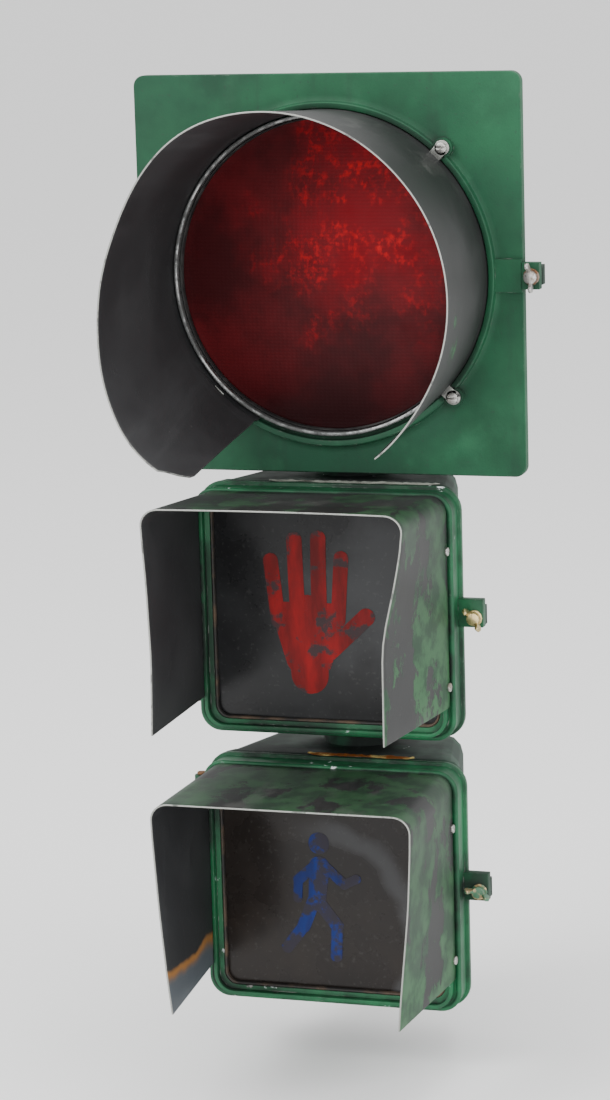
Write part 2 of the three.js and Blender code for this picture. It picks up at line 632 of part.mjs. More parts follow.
// A round sheet visor, cut away below, with four tabs folded out under its screws.
function roundVisor(front, radius, angles) {
  const base = front + VISOR_SEAT - 2 * GAP;
  const rim = front - ROUND_VISOR_LENGTH;
  const rows = [];
  for (let row = 0; row <= 3; row++) {
    const along = row / 3;
    const left = THREE.MathUtils.lerp(ROUND_CUT.leftBase, ROUND_CUT.leftRim, along);
    const right = THREE.MathUtils.lerp(ROUND_CUT.rightBase, ROUND_CUT.rightRim, along);
    const r = radius + ROUND_VISOR_FLARE * along;
    const points = [];
    for (let i = 0; i <= 32; i++) {
      const angle = THREE.MathUtils.degToRad(THREE.MathUtils.lerp(left, right, i / 32));
      points.push([r * Math.cos(angle), r * Math.sin(angle)]);
    }
    rows.push({ y: THREE.MathUtils.lerp(base, rim, along), points });
  }
  const seat = front - RING_HEIGHT - GAP;
  const tabs = angles.map((a) =>
    spoke(a, radius - SHEET / 4, LUG_CIRCLE + TAB_REACH, seat - SHEET, seat));
  const [x, z] = [Math.cos, Math.sin].map((part) => (a) => LUG_CIRCLE * part(a));
  const holes = angles.map((a) =>
    rodY(x(a), z(a), VISOR_SCREW.radius + GAP, seat - 5, seat + 5, POST_STEPS));
  return cut(join([bentSheet(rows, SHEET), ...tabs]), holes);
}

// A round glass with a flat rim and a shallow dome that bulges forward.
function roundLens(lensY, domeRadius) {
  const facing = [];
  const steps = 4;
  for (let i = 0; i <= steps; i++) {
    const radius = (domeRadius * i) / steps;
    facing.push([radius, lensY - LENS_DOME * (1 - (i / steps) ** 2)]);
  }
  const behind = facing.map(([radius, y]) => [radius, y + GLASS]).reverse();
  return spun([...facing, [LENS_RADIUS, lensY], [LENS_RADIUS, lensY + GLASS], ...behind]);
}

// ---------------------------------------------------------------- a square section
function squareSection(prefix, centreZ, lensFinish, wingTurn) {
  const group = new THREE.Group();
  group.position.z = centreZ;
  const w = DOOR_WIDTH / 2;
  const h = DOOR_HEIGHT / 2;
  const front = SMALL.front;
  const rear = front + DOOR_DEPTH;
  const hinge = { ...SMALL_HINGE, x: -(w + SMALL_HINGE.out), y: front + SMALL_HINGE.back };
  const latch = {
    ...SMALL_LATCH,
    x: w + SMALL_LATCH.out,
    face: front - SMALL_LATCH.front,
    lugFront: rear + 2 * GAP,
    turn: THREE.MathUtils.degToRad(wingTurn),
  };
  const openW = w - BORDER;
  const openH = h - BORDER + 3;
  const lensW = openW + PANE_MARGIN;
  const lensH = openH + PANE_MARGIN;
  const seatY = front + DOOR_FACE + GAP;
  const lensY = seatY + GASKET_LIP + GAP;
  const retainerY = seatY + 2 * (GASKET_LIP + GAP) + GLASS + GAP;
  const cavityW = w - CAVITY_INSET.x;
  const cavityH = h - CAVITY_INSET.z;
  const cavityCorner = DOOR_CORNER - 4;

  const postX = SMALL_HOUSING.width / 2 - WALL - 8;
  const postZ = SMALL_HOUSING.height / 2 - WALL - 10;
  const reflectorY = SMALL.rimFront + 4;
  const posts = [[1, 1], [-1, 1], [-1, -1], [1, -1]].map(([x, z]) =>
    [x * postX, z * postZ, reflectorY + REFLECTOR + GAP]);
  add(group, prefix + "_housing", housing(SMALL, hinge, latch, posts), GREEN());

  // The door: a deep frame with a beaded front edge, a rear flange and a collar for the visor.
  const side = (y, grow) => ({ y, points: outline(w + grow, h + grow, DOOR_CORNER + grow) });
  const body = loft([
    side(rear, FLANGE), side(rear - FLANGE_DEPTH, FLANGE), side(rear - FLANGE_DEPTH, -1),
    side(front + 6, -1), side(front + 4.6, 0), side(front + BEAD_RADIUS, 0),
    side(front + BEAD_RADIUS * 0.3, -BEAD_RADIUS * 0.3), side(front, -BEAD_RADIUS),
  ]);
  const collar = frameOf(
    w - COLLAR_INSET, h - COLLAR_INSET + 2.4, COLLAR_CORNER, COLLAR_WALL,
    front - COLLAR_HEIGHT, front + 1,
  );
  const lug = box(w - 4, w + latch.width, latch.face, latch.face + latch.thick, -latch.bottom, latch.top);
  const knuckles = [1, -1].map((s) =>
    doorKnuckle(hinge, s, hinge.x, -w + 3, hinge.y - hinge.knuckle, rear - GAP));
  const door = cut(join([body, collar, lug, ...knuckles]), [
    block(cavityW, cavityH, cavityCorner, front + DOOR_FACE, rear + 1),
    block(openW, openH, OPENING_CORNER, front - 1, front + DOOR_FACE + 1),
    rodY(latch.x, -latch.drop, SCREW_RADIUS + GAP, latch.face - 1, latch.face + latch.thick + 1),
    ...[1, -1].map((s) => hingeHole(hinge, s)),
  ]);
  add(group, prefix + "_door", door, GREEN());

  const sealH = Math.min(cavityH, SMALL_HOUSING.height / 2) - GAP;
  const seal = frameOf(cavityW - GAP, sealH, cavityCorner - GAP, DOOR_SEAL, rear - 5.5, rear - GAP / 2);
  add(group, prefix + "_door_seal", seal, RUBBER());

  add(group, prefix + "_visor", squareVisor(front, w - COLLAR_INSET, h - COLLAR_INSET + 2.4), CHARCOAL());

  const gasketW = lensW + GAP + GASKET_BACK;
  const gasketH = lensH + GAP + GASKET_BACK;
  const gasket = cut(block(gasketW, gasketH, 16, seatY, retainerY - GAP), [
    block(lensW + GAP, lensH + GAP, PANE_CORNER, seatY + GASKET_LIP, retainerY - GAP - GASKET_LIP),
    block(openW - 1.2, openH - 1.2, OPENING_CORNER - 1, seatY - 1, retainerY + 1),
  ]);
  add(group, prefix + "_lens_gasket", gasket, RUBBER());

  const pane = (y, inset) => ({ y, points: outline(lensW - inset, lensH - inset, PANE_CORNER) });
  const lens = loft([
    pane(lensY + GLASS, 0), pane(lensY, 0), pane(lensY, 7), pane(lensY - 2.4, 30),
    pane(lensY - 3.4, 60),
  ]);
  add(group, prefix + "_lens", lens, lensFinish);

  const retainer = frameOf(
    cavityW - GAP, cavityH - GAP, cavityCorner - GAP, RETAINER_WIDTH, retainerY, retainerY + RETAINER,
  );
  add(group, prefix + "_lens_retainer", retainer, STEEL());

  // The reflector: a flange that rests on the posts, and a bowl that turns from square to round.
  const neckY = SMALL.back - WALL - 31;
  const mouthW = openW - 12;
  const mouthH = openH - 8;
  const bowl = (grow) => {
    const rings = [];
    for (let i = 0; i <= 6; i++) {
      const along = i / 6;
      const narrow = Math.sqrt(1 - along);
      const bw = REFLECTOR_NECK + grow + (mouthW - REFLECTOR_NECK) * narrow;
      const bh = REFLECTOR_NECK + grow + (mouthH - REFLECTOR_NECK) * narrow;
      const corner = Math.min(bw, bh) * THREE.MathUtils.lerp(0.25, 0.98, along);
      rings.push({ y: THREE.MathUtils.lerp(reflectorY + 1, neckY, along), points: outline(bw, bh, corner) });
    }
    return rings;
  };
  const lengthen = (rings, by) => {
    const last = rings[rings.length - 1];
    return [{ ...rings[0], y: rings[0].y - by }, ...rings, { ...last, y: last.y + by }];
  };
  const flangePlate = block(
    SMALL_HOUSING.width / 2 - WALL - SMALL_RIM.inner - 2,
    SMALL_HOUSING.height / 2 - WALL - SMALL_RIM.inner - 2,
    12, reflectorY, reflectorY + REFLECTOR,
  );
  const reflector = cut(join([flangePlate, loft(bowl(REFLECTOR))]), [loft(lengthen(bowl(0), 3))]);
  add(group, prefix + "_reflector", reflector, MIRROR());
  lampAndSocket(group, prefix, neckY, SMALL.back - WALL - GAP);

  add(group, prefix + "_hinge_pin_upper", hingePin(hinge, 1), STEEL());
  add(group, prefix + "_hinge_pin_lower", hingePin(hinge, -1), STEEL());
  latchPieces(group, prefix, latch);
  return group;
}

// A square visor: a top and two side panels from one bent sheet, open below.
function squareVisor(front, collarW, collarH) {
  const w = collarW + GAP + SHEET / 2;
  const h = collarH + GAP + SHEET / 2;
  const rows = [];
  const collarEnd = (COLLAR_HEIGHT + 1) / SQUARE_VISOR_LENGTH; // straight over the collar
  for (const out of [GAP / SQUARE_VISOR_LENGTH, collarEnd, 0.35, 0.65, 1]) {
    const along = Math.max(0, (out - collarEnd) / (1 - collarEnd));
    const spread = SQUARE_VISOR_SPREAD * along;
    const top = outline(w + spread, h + spread, COLLAR_CORNER + GAP + SHEET / 2);
    const arch = top.slice(0, 2 * (CORNER_STEPS + 1));
    const [sideX, sideZ] = [w + spread, arch[0][1]];
    const leg = [];
    for (let i = 1; i <= 4; i++) {
      const down = i / 4;
      const z = THREE.MathUtils.lerp(sideZ, -SQUARE_VISOR_SKIRT - 1.5 * along, down);
      leg.push([sideX - (SQUARE_VISOR_PINCH + spread) * along * Math.min(1, down * 1.35), z]);
    }
    const right = leg.slice().reverse();
    const left = leg.map(([x, z]) => [-x, z]);
    rows.push({ y: front - SQUARE_VISOR_LENGTH * out, points: [...right, ...arch, ...left] });
  }
  return bentSheet(rows, SHEET);
}

// ================================================================ couplings and wiring

// A flanged nipple through two hubs, with the ring between them and a lock nut below. The upper
// section's hub runs from its pad inside (floor) to its face, and the lower one's up to its face.
function coupling(name, upper, floor, lower, ceiling) {
  const bore = rodZ(0, 0, PIPE_RADIUS - PIPE_WALL, ceiling - 40, floor + 40, HUB_STEPS);
  const ring = rodZ(0, 0, HUB_RADIUS, lower + GAP, upper - GAP, HUB_STEPS).subtract(
    rodZ(0, 0, PIPE_RADIUS + 2 * GAP, lower - 1, upper + 1, HUB_STEPS));
  add(signal, name + "_coupling_ring", ring, ALUMINIUM());
  const nippleEnd = ceiling - GAP - NUT_HEIGHT - 2;
  const head = floor + GAP;
  const nipple = join([
    rodZ(0, 0, PIPE_RADIUS, nippleEnd, head + 1, HUB_STEPS),
    rodZ(0, 0, NUT_RADIUS, head, head + NUT_HEIGHT, 6),
  ]).subtract(bore);
  add(signal, name + "_nipple", nipple, STEEL());
  const nutTop = ceiling - GAP;
  const nut = rodZ(0, 0, NUT_RADIUS, nutTop - NUT_HEIGHT, nutTop, 6).subtract(
    rodZ(0, 0, PIPE_RADIUS + 2 * GAP, nutTop - NUT_HEIGHT - 1, nutTop + 1, HUB_STEPS));
  add(signal, name + "_lock_nut", nut, STEEL());
}

function closureCap(face) {
  const plug = rodZ(0, 0, PIPE_RADIUS - GAP, face - 1, face + SMALL.hubLength, HUB_STEPS);
  const disc = rodZ(0, 0, HUB_RADIUS, face - GAP - CAP_THICKNESS, face - GAP, HUB_STEPS);
  add(signal, "closure_cap", plug.add(disc), ALUMINIUM());
}

// The terminal block on the middle section's back wall, with its marker ribs.
function terminalBlock() {
  const { width, height, depth, above, rib, spaces } = TERMINALS;
  const back = SMALL.back - WALL - GAP;
  const low = WAIT_Z - SMALL.halfHeight + WALL + above;
  const pieces = [box(-width / 2, width / 2, back - depth + 6, back, low, low + height)];
  for (let i = 0; i <= spaces; i++) {
    const x = -width / 2 + (width * i) / spaces;
    const x0 = THREE.MathUtils.clamp(x - rib / 2, -width / 2, width / 2 - rib);
    pieces.push(box(x0, x0 + rib, back - depth, back - 1, low, low + height));
  }
  add(signal, "terminal_block", join(pieces), finish(0x2a2320, 0.5, 0));
}

// A lead of round section along a smooth route of [x, y, z] points.
function lead(name, route) {
  const path = new THREE.CatmullRomCurve3(route.map((p) => new THREE.Vector3(...p)), false, "centripetal");
  const section = new THREE.Shape();
  section.absarc(0, 0, LEAD_RADIUS, 0, Math.PI * 2);
  const geometry = new THREE.ExtrudeGeometry(section, {
    steps: 18,
    curveSegments: 4,
    extrudePath: path,
    bevelEnabled: false,
  });
  add(signal, name, solid(geometry), finish(0x4a3a30, 0.8, 0));
}

function leads() {
  const blockTop = WAIT_Z - SMALL.halfHeight + WALL + TERMINALS.above + TERMINALS.height;
  const blockBottom = blockTop - TERMINALS.height;
  const blockY = SMALL.back - WALL - GAP - TERMINALS.depth / 2 + 2;
  const socketOut = LAMP_BASE + GAP + SOCKET_WALL + GAP;
  const largeY = LARGE.back - WALL - GAP - SOCKET_WALL - 12;
  const smallY = SMALL.back - WALL - GAP - SOCKET_WALL - 8;
  const pipe = PIPE_RADIUS - PIPE_WALL - LEAD_RADIUS - 4;
  lead("red_lamp_lead", [
    [0, largeY, RED_Z - socketOut], [0, largeY, RED_Z - socketOut - 24],
    [0, largeY - 12, RED_Z - 104], [0, pipe + 10, RED_Z - LARGE.halfHeight + 44],
    [0, pipe + 1, RED_Z - LARGE.halfHeight + 26], [0, pipe, RED_Z - LARGE.halfHeight],
    [0, pipe, WAIT_Z + SMALL.halfHeight],
    [8, pipe + 6, WAIT_Z + SMALL.halfHeight - 34], [34, 30, WAIT_Z + 50],
    [48, 32, WAIT_Z], [34, blockY, blockTop + 34], [30, blockY, blockTop + GAP],
  ]);
  lead("wait_lamp_lead", [
    [0, smallY, WAIT_Z - socketOut], [0, smallY, WAIT_Z - socketOut - 12],
    [0, blockY, blockTop + 14], [0, blockY, blockTop + GAP],
  ]);
  lead("walk_lamp_lead", [
    [-30, blockY, blockBottom - 2 * GAP], [-30, blockY, blockBottom - 4],
    [-26, blockY - 4, blockBottom - 9], [-12, blockY - 14, blockBottom - 8],
    [-2, pipe + 3, WAIT_Z - SMALL.halfHeight + 24],
    [0, pipe, WAIT_Z - SMALL.halfHeight + 6], [0, pipe, WALK_Z + SMALL.halfHeight],
    [0, pipe + 2, WALK_Z + SMALL.halfHeight - 30], [0, smallY, WALK_Z + socketOut + 30],
    [0, smallY, WALK_Z + socketOut],
  ]);
}

signal.add(redSection());
signal.add(squareSection("wait", WAIT_Z, finish(0x25262a, 0.2, 0), 52));
signal.add(squareSection("walk", WALK_Z, finish(0x25262a, 0.2, 0), 18));
const hubs = (kind, z) => ({
  lowFace: z - kind.halfHeight - HUB_RISE,
  floor: z - kind.halfHeight - HUB_RISE + kind.hubLength,
  topFace: z + kind.halfHeight + HUB_RISE,
  ceiling: z + kind.halfHeight + HUB_RISE - kind.hubLength,
});
for (const [name, above, below] of [
  ["upper", hubs(LARGE, RED_Z), hubs(SMALL, WAIT_Z)],
  ["lower", hubs(SMALL, WAIT_Z), hubs(SMALL, WALK_Z)],
])
  coupling(name, above.lowFace, above.floor, below.topFace, below.ceiling);
closureCap(WALK_Z - SMALL.halfHeight - HUB_RISE);
terminalBlock();
leads();

export default signal;
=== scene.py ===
# %% [markdown]
# A hanging pedestrian signal: a large round red section over two square sections, all in old
# green paint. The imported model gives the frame: where every piece is, how big it is, and what
# it moves with. This lesson dresses that frame. Nothing is moved: places and main sizes are
# read from the frame, the small steps of each shape are in millimetres, and each new piece is
# modelled where the old one is.

# %% Load the frame
import json
import math

import bmesh
import bpy
from mathutils import Matrix, Vector

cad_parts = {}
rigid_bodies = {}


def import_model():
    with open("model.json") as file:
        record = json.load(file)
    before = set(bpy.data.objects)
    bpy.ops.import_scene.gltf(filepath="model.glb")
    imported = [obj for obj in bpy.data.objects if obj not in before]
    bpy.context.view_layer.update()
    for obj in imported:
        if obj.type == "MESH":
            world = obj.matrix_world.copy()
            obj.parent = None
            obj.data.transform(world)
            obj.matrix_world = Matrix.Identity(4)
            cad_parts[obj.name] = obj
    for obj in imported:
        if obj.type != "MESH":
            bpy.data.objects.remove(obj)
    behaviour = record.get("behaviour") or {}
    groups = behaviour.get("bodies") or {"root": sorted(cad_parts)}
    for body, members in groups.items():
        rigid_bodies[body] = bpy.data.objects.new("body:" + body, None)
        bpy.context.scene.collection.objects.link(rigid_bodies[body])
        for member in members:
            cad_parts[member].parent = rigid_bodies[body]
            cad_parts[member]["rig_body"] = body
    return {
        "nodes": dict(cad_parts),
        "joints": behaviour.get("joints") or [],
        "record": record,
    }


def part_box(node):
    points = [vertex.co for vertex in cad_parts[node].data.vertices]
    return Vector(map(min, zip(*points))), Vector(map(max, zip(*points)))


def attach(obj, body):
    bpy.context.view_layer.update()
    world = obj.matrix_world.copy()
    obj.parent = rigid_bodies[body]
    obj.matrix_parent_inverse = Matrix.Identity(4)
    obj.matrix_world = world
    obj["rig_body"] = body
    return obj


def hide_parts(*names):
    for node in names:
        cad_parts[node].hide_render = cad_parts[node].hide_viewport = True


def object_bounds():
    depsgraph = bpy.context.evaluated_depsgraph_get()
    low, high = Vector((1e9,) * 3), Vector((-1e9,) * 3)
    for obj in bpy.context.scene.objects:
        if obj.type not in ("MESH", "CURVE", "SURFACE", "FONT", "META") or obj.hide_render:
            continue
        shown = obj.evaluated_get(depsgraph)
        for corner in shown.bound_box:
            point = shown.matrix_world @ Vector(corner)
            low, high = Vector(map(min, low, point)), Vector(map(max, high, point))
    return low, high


for leftover in list(bpy.data.objects):
    bpy.data.objects.remove(leftover)
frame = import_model()
cad_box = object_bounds()
MM = 0.001


def joint_places(ending):
    return {j["name"].split("_")[0]: j["pos_m"] for j in frame["joints"] if j["name"].endswith(ending)}


hinge = joint_places("door_hinge")
height = {section: place[2] for section, place in hinge.items()}
print("sections centred at", height)

# %% [markdown]
# The camera comes first, because it decides which surfaces are seen close. It stands to the
# right of the signal and a little above its top, three metres away, with a long lens.
# A camera looks along its own -Z with +Y up, so its axes are written as the columns of a matrix.

# %% Camera
CAMERA_PLACE = (0.9103, -2.9875, 0.1551)
YAW, PITCH, ROLL = (math.radians(a) for a in (17.816, 10.796, -1.647))
ahead = Vector((-math.sin(YAW) * math.cos(PITCH), math.cos(YAW) * math.cos(PITCH), -math.sin(PITCH)))
level = Vector((math.cos(YAW), math.sin(YAW), 0))
above = level.cross(ahead)
right = math.cos(ROLL) * level + math.sin(ROLL) * above
up = math.cos(ROLL) * above - math.sin(ROLL) * level
lens = bpy.data.cameras.new("long_lens")
lens.lens = 110
lens.sensor_width = 36
camera = bpy.data.objects.new("camera", lens)
turned = Matrix((right, up, -ahead)).transposed().to_4x4()
camera.matrix_world = Matrix.Translation(CAMERA_PLACE) @ turned
bpy.context.scene.collection.objects.link(camera)
bpy.context.scene.camera = camera
print("camera at", tuple(round(v, 3) for v in camera.location))

# %% [markdown]
# The signal hangs just above a plain pale floor that catches a soft shadow. The floor runs far
# past the frame on every side and has no wall, so nothing stands between the object and a view
# from behind or from the side. The two small helpers select by place, as every later cell does.

# %% Studio floor
def deselect():
    if bpy.context.object and bpy.context.object.mode != "OBJECT":
        bpy.ops.object.mode_set(mode="OBJECT")
    bpy.ops.object.select_all(action="DESELECT")


def choose(piece, test):
    """In edit mode, select the vertices whose place passes the test, and what lies between them."""
    bpy.ops.mesh.select_all(action="DESELECT")
    mesh = bmesh.from_edit_mesh(piece.data)
    for vert in mesh.verts:
        vert.select = bool(test(vert.co))
    mesh.select_flush_mode()
    bmesh.update_edit_mesh(piece.data)


FLOOR = cad_box[0][2] - 0.05
deselect()
bpy.ops.mesh.primitive_plane_add(size=120, location=(0, 0, FLOOR))
floor = bpy.context.object
floor.name = "studio_floor"
bpy.ops.object.transform_apply(location=True)
pale = bpy.data.materials.new("pale_paper")
pale.use_nodes = True
pale.node_tree.nodes["Principled BSDF"].inputs["Base Color"].default_value = (0.9, 0.9, 0.9, 1)
pale.node_tree.nodes["Principled BSDF"].inputs["Roughness"].default_value = 0.9
floor.data.materials.append(pale)
print("floor at", round(FLOOR, 3))

# %% [markdown]
# Soft light from large area lamps, so that satin paint shows broad, quiet highlights. The key
# is high at the left, a fill comes from the right, and a low wide lamp in front lets some light
# into the hoods. The world adds a pale even light all round.

# %% Lights
def soft_lamp(name, place, target, size, power):
    lamp = bpy.data.lights.new(name, "AREA")
    lamp.shape = "SQUARE"
    lamp.size = size
    lamp.energy = power
    holder = bpy.data.objects.new(name, lamp)
    holder.location = place
    holder.rotation_euler = (Vector(target) - Vector(place)).to_track_quat("-Z", "Y").to_euler()
    bpy.context.scene.collection.objects.link(holder)
    return holder


MIDDLE = (0, 0, (cad_box[0][2] + cad_box[1][2]) / 2)
soft_lamp("key_lamp", (-2.2, -3.2, 2.4), MIDDLE, 2.2, 150)
soft_lamp("fill_lamp", (3.0, -2.4, 0.6), MIDDLE, 2.4, 70)
soft_lamp("front_lamp", (0.4, -4.2, -0.3), MIDDLE, 2.0, 45)
soft_lamp("top_lamp", (0.3, -0.4, 2.6), MIDDLE, 1.6, 45)
world = bpy.data.worlds.new("pale_room")
world.use_nodes = True
world.node_tree.nodes["Background"].inputs["Color"].default_value = (0.98, 0.98, 0.98, 1)
world.node_tree.nodes["Background"].inputs["Strength"].default_value = 1.35
bpy.context.scene.world = world

# %% [markdown]
# Materials are small programs. Each finish below starts from noise on the object's own
# coordinates, because every piece sits at the origin and its place is in its mesh, so a pattern
# stays on the metal when a door swings. These helpers keep the programs short: one adds a node
# and wires it, one makes a soft mask from noise, and others join masks and lay colour on colour.

# %% Material helpers
def start_material(name):
    material = bpy.data.materials.new(name)
    material.use_nodes = True
    tree = material.node_tree
    tree.nodes.clear()
    return material, tree


def feed(tree, socket, value):
    """Wires value to the socket if it is a socket too, and else sets it. A colour gets its alpha."""
    if isinstance(value, bpy.types.NodeSocket):
        tree.links.new(value, socket)
    else:
        socket.default_value = (*value, 1) if socket.type == "RGBA" else value


def add(tree, kind, settings=None, **inputs):
    """A node of a kind, with its settings, and each input given a value or wired to a socket."""
    made = tree.nodes.new("ShaderNode" + kind)
    for key, value in (settings or {}).items():
        setattr(made, key, value)
    for key, value in inputs.items():
        place = int(key[1:]) if key[0] == "i" and key[1:].isdigit() else key.replace("_", " ")
        feed(tree, made.inputs[place], value)
    return made


def vectors(tree, how, a, b):
    made = add(tree, "VectorMath", {"operation": how}, i0=a, i1=b)
    return made.outputs["Value" if how in ("DOT_PRODUCT", "DISTANCE") else "Vector"]


def place_of(tree):
    return add(tree, "TexCoord").outputs["Object"]


def stretched(tree, place, scale):
    return add(tree, "Mapping", Vector=place, Scale=scale).outputs[0]


def ramp(tree, value, low, high):
    """0 below low, 1 above high, smooth between. With low above high it is turned round."""
    turned = low > high
    made = add(tree, "MapRange", {"interpolation_type": "SMOOTHSTEP"}, Value=value)
    made.inputs["From Min"].default_value = min(low, high)
    made.inputs["From Max"].default_value = max(low, high)
    made.inputs["To Min"].default_value = 1 if turned else 0
    made.inputs["To Max"].default_value = 0 if turned else 1
    return made.outputs[0]


def cloud(tree, place, scale, low, high, detail=6, rough=0.6, shift=0.0):
    if shift:
        place = vectors(tree, "ADD", place, (shift, shift * 0.7, -shift))
    made = add(tree, "TexNoise", Vector=place, Scale=scale, Detail=detail, Roughness=rough)
    return ramp(tree, made.outputs[0], low, high)


def plain_noise(tree, place, scale, detail):
    return add(tree, "TexNoise", Vector=place, Scale=scale, Detail=detail).outputs[0]


def maths(tree, how, a, b):
    """Plain arithmetic on two values."""
    return add(tree, "Math", {"operation": how}, i0=a, i1=b).outputs[0]


def masks(tree, how, a, b):
    """Arithmetic on two masks, with the result held between 0 and 1."""
    return add(tree, "Math", {"operation": how, "use_clamp": True}, i0=a, i1=b).outputs[0]


def both(tree, a, b):
    return masks(tree, "MULTIPLY", a, b)


def ragged(tree, distance, blob):
    """A distance pushed in and out by a noise, for a mask with a ragged edge."""
    return maths(tree, "ADD", distance, maths(tree, "MULTIPLY", maths(tree, "SUBTRACT", blob, 0.5), 0.22))


def blend_colours(tree, mask, a, b):
    return add(tree, "Mix", {"data_type": "RGBA"}, i0=mask, i6=a, i7=b).outputs[2]


def cover(tree, colour, mask, amount, top):
    """The colour so far, with another laid over it by an amount where the mask says."""
    return blend_colours(tree, both(tree, mask, amount), colour, top)


def blend_values(tree, mask, a, b):
    return add(tree, "Mix", {"data_type": "FLOAT"}, i0=mask, i2=a, i3=b).outputs[0]


def axis_of(tree, place):
    made = add(tree, "SeparateXYZ", Vector=place)
    return made.outputs[0], made.outputs[1], made.outputs[2]


def edge_mask(tree, radius):
    """1 along sharp outside edges: there a rounded normal parts from the true one."""
    soft = add(tree, "Bevel", {"samples": 4}, Radius=radius).outputs[0]
    true = add(tree, "NewGeometry").outputs["Normal"]
    return ramp(tree, vectors(tree, "DOT_PRODUCT", soft, true), 0.97, 0.75)


def raised(tree, value, depth, strength=0.5, under=None):
    made = add(tree, "Bump", Height=value, Distance=depth, Strength=strength)
    if under is not None:
        tree.links.new(under, made.inputs["Normal"])
    return made.outputs[0]


def shade(tree, colour, roughness, normal, **others):
    """The shader that ends a tree. What is the same all over is set on its socket, not wired."""
    made = add(tree, "BsdfPrincipled", Base_Color=colour, Roughness=roughness, Normal=normal, **others)
    tree.links.new(made.outputs[0], add(tree, "OutputMaterial").inputs["Surface"])


print("material helpers ready")

# %% [markdown]
# The green enamel is the signal's main finish: brushed-on oil paint that has chalked, picked up
# soot and lost chips at its edges. It is made in layers, from the metal up: two greens mixed by
# a broad cloud, a chalky bloom, soot together with painted shade darkening the corners (ambient
# occlusion finds them), streaks that run down, and last the chips, which show dark primer and grey metal.

# %% Green enamel
RAIN_STREAK = (0.014, 0.022, 0.018)
SOOT_AND_SHADE = (0.010, 0.013, 0.012)
SPECKS = (0.02, 0.03, 0.025)
PRIMER = (0.018, 0.017, 0.016)
BARE_CASTING = (0.36, 0.36, 0.34)
LIME_CRUST = (0.62, 0.66, 0.66)


def green_enamel(name, pale, deep, soot_and_shade, chips, gloss, streaks=0.25, white=0.0):
    material, tree = start_material(name)
    place = place_of(tree)
    broad = cloud(tree, place, 7, 0.36, 0.66, detail=4)
    colour = blend_colours(tree, broad, deep, pale)
    bloom = cloud(tree, place, 22, 0.52, 0.74, shift=3.1)
    colour = cover(tree, colour, bloom, 0.35, tuple(min(1, c * 1.4 + 0.012) for c in pale))
    runs = cloud(tree, stretched(tree, place, (30, 30, 2.2)), 1.6, 0.5, 0.75, shift=1.3)
    colour = cover(tree, colour, runs, streaks, RAIN_STREAK)
    # Painted shade: ambient occlusion lays the soot colour into corners and recesses, over cloudy patches of
    # real soot.
    corner = add(tree, "AmbientOcclusion", {"samples": 6}, Distance=0.03).outputs["AO"]
    corner_shade_and_soot = masks(tree, "ADD", ramp(tree, corner, 0.85, 0.3), soot_and_shade * 0.6)
    soot_and_shade_mask = both(tree, cloud(tree, place, 16, 0.38, 0.62, shift=5.7), corner_shade_and_soot)
    colour = cover(tree, colour, soot_and_shade_mask, soot_and_shade * 1.5, SOOT_AND_SHADE)
    colour = cover(tree, colour, cloud(tree, place, 260, 0.62, 0.72, detail=2), 0.35, SPECKS)
    worn = both(tree, edge_mask(tree, 0.0016), cloud(tree, place, 45, 0.5 - chips * 0.2, 0.62, shift=2.2))
    more = chips * 0.14
    patches = cloud(tree, place, 30, 0.77 - more, 0.78 - more, detail=9, rough=0.62, shift=8.4)
    chipped = masks(tree, "MAXIMUM", both(tree, worn, 0.9), patches)
    colour = blend_colours(tree, chipped, colour, PRIMER)
    bare = both(tree, chipped, cloud(tree, place, 120, 0.5, 0.6, shift=4.0))
    colour = cover(tree, colour, bare, 0.6, BARE_CASTING)
    if white:
        more = white * 0.12
        flecks = cloud(tree, place, 60, 0.70 - more, 0.72 - more, detail=8, shift=6.6)
        crust = both(tree, flecks, cloud(tree, place, 9, 0.48, 0.58, shift=2.9))
        colour = blend_colours(tree, crust, colour, LIME_CRUST)
    rough = blend_values(tree, broad, gloss + 0.10, gloss)
    rough = blend_values(tree, chipped, rough, 0.72)
    rough = blend_values(tree, soot_and_shade_mask, rough, 0.8)
    normal = raised(tree, plain_noise(tree, place, 11, 2), 0.004, 0.25)
    normal = raised(tree, plain_noise(tree, place, 420, 3), 0.0002, 0.5, normal)
    normal = raised(tree, chipped, -0.0003, 0.8, normal)
    shade(tree, colour, rough, normal, Specular_IOR_Level=0.26)
    return material


plate_paint = green_enamel("plate_green", (0.010, 0.086, 0.036), (0.006, 0.050, 0.023), 0.45, 0.15, 0.50)
door_paint = green_enamel("door_green", (0.010, 0.118, 0.044), (0.006, 0.056, 0.023),
                          0.75, 0.42, 0.36, 0.5, 0.5)
casting_paint = green_enamel("casting_green", (0.011, 0.064, 0.031), (0.006, 0.032, 0.017),
                             0.85, 0.40, 0.58, 0.6, 0.22)
print("green finishes:", plate_paint.name, door_paint.name, casting_paint.name)

# %% [markdown]
# The hoods are sheet metal in matt charcoal inside, so that they don't glint, and the outsides
# were once green too. Old green shows through the later charcoal where it peeled. Which side a
# face is on comes from its normal: outwards from the hood's middle line, or inwards. Both are
# taken in the piece's own frame, so nothing changes as a door swings. The front rim has rubbed
# down to bright metal, so a thin band there is bare.

# %% Hood finish
MATT_INSIDE = (0.022, 0.0225, 0.0238), (0.036, 0.0365, 0.038)
CHARCOAL = (0.013, 0.0135, 0.0135), (0.032, 0.033, 0.033)
OLD_GREEN = (0.012, 0.045, 0.020), (0.030, 0.100, 0.040)
PALE_DUST = (0.11, 0.115, 0.12)
WEATHERED = (0.085, 0.085, 0.08)
RUST_LINE = (0.30, 0.135, 0.035)
BELOW_RUST = (0.11, 0.13, 0.15)
PITTED = (0.12, 0.12, 0.115)
RUBBED = (0.30, 0.305, 0.285)


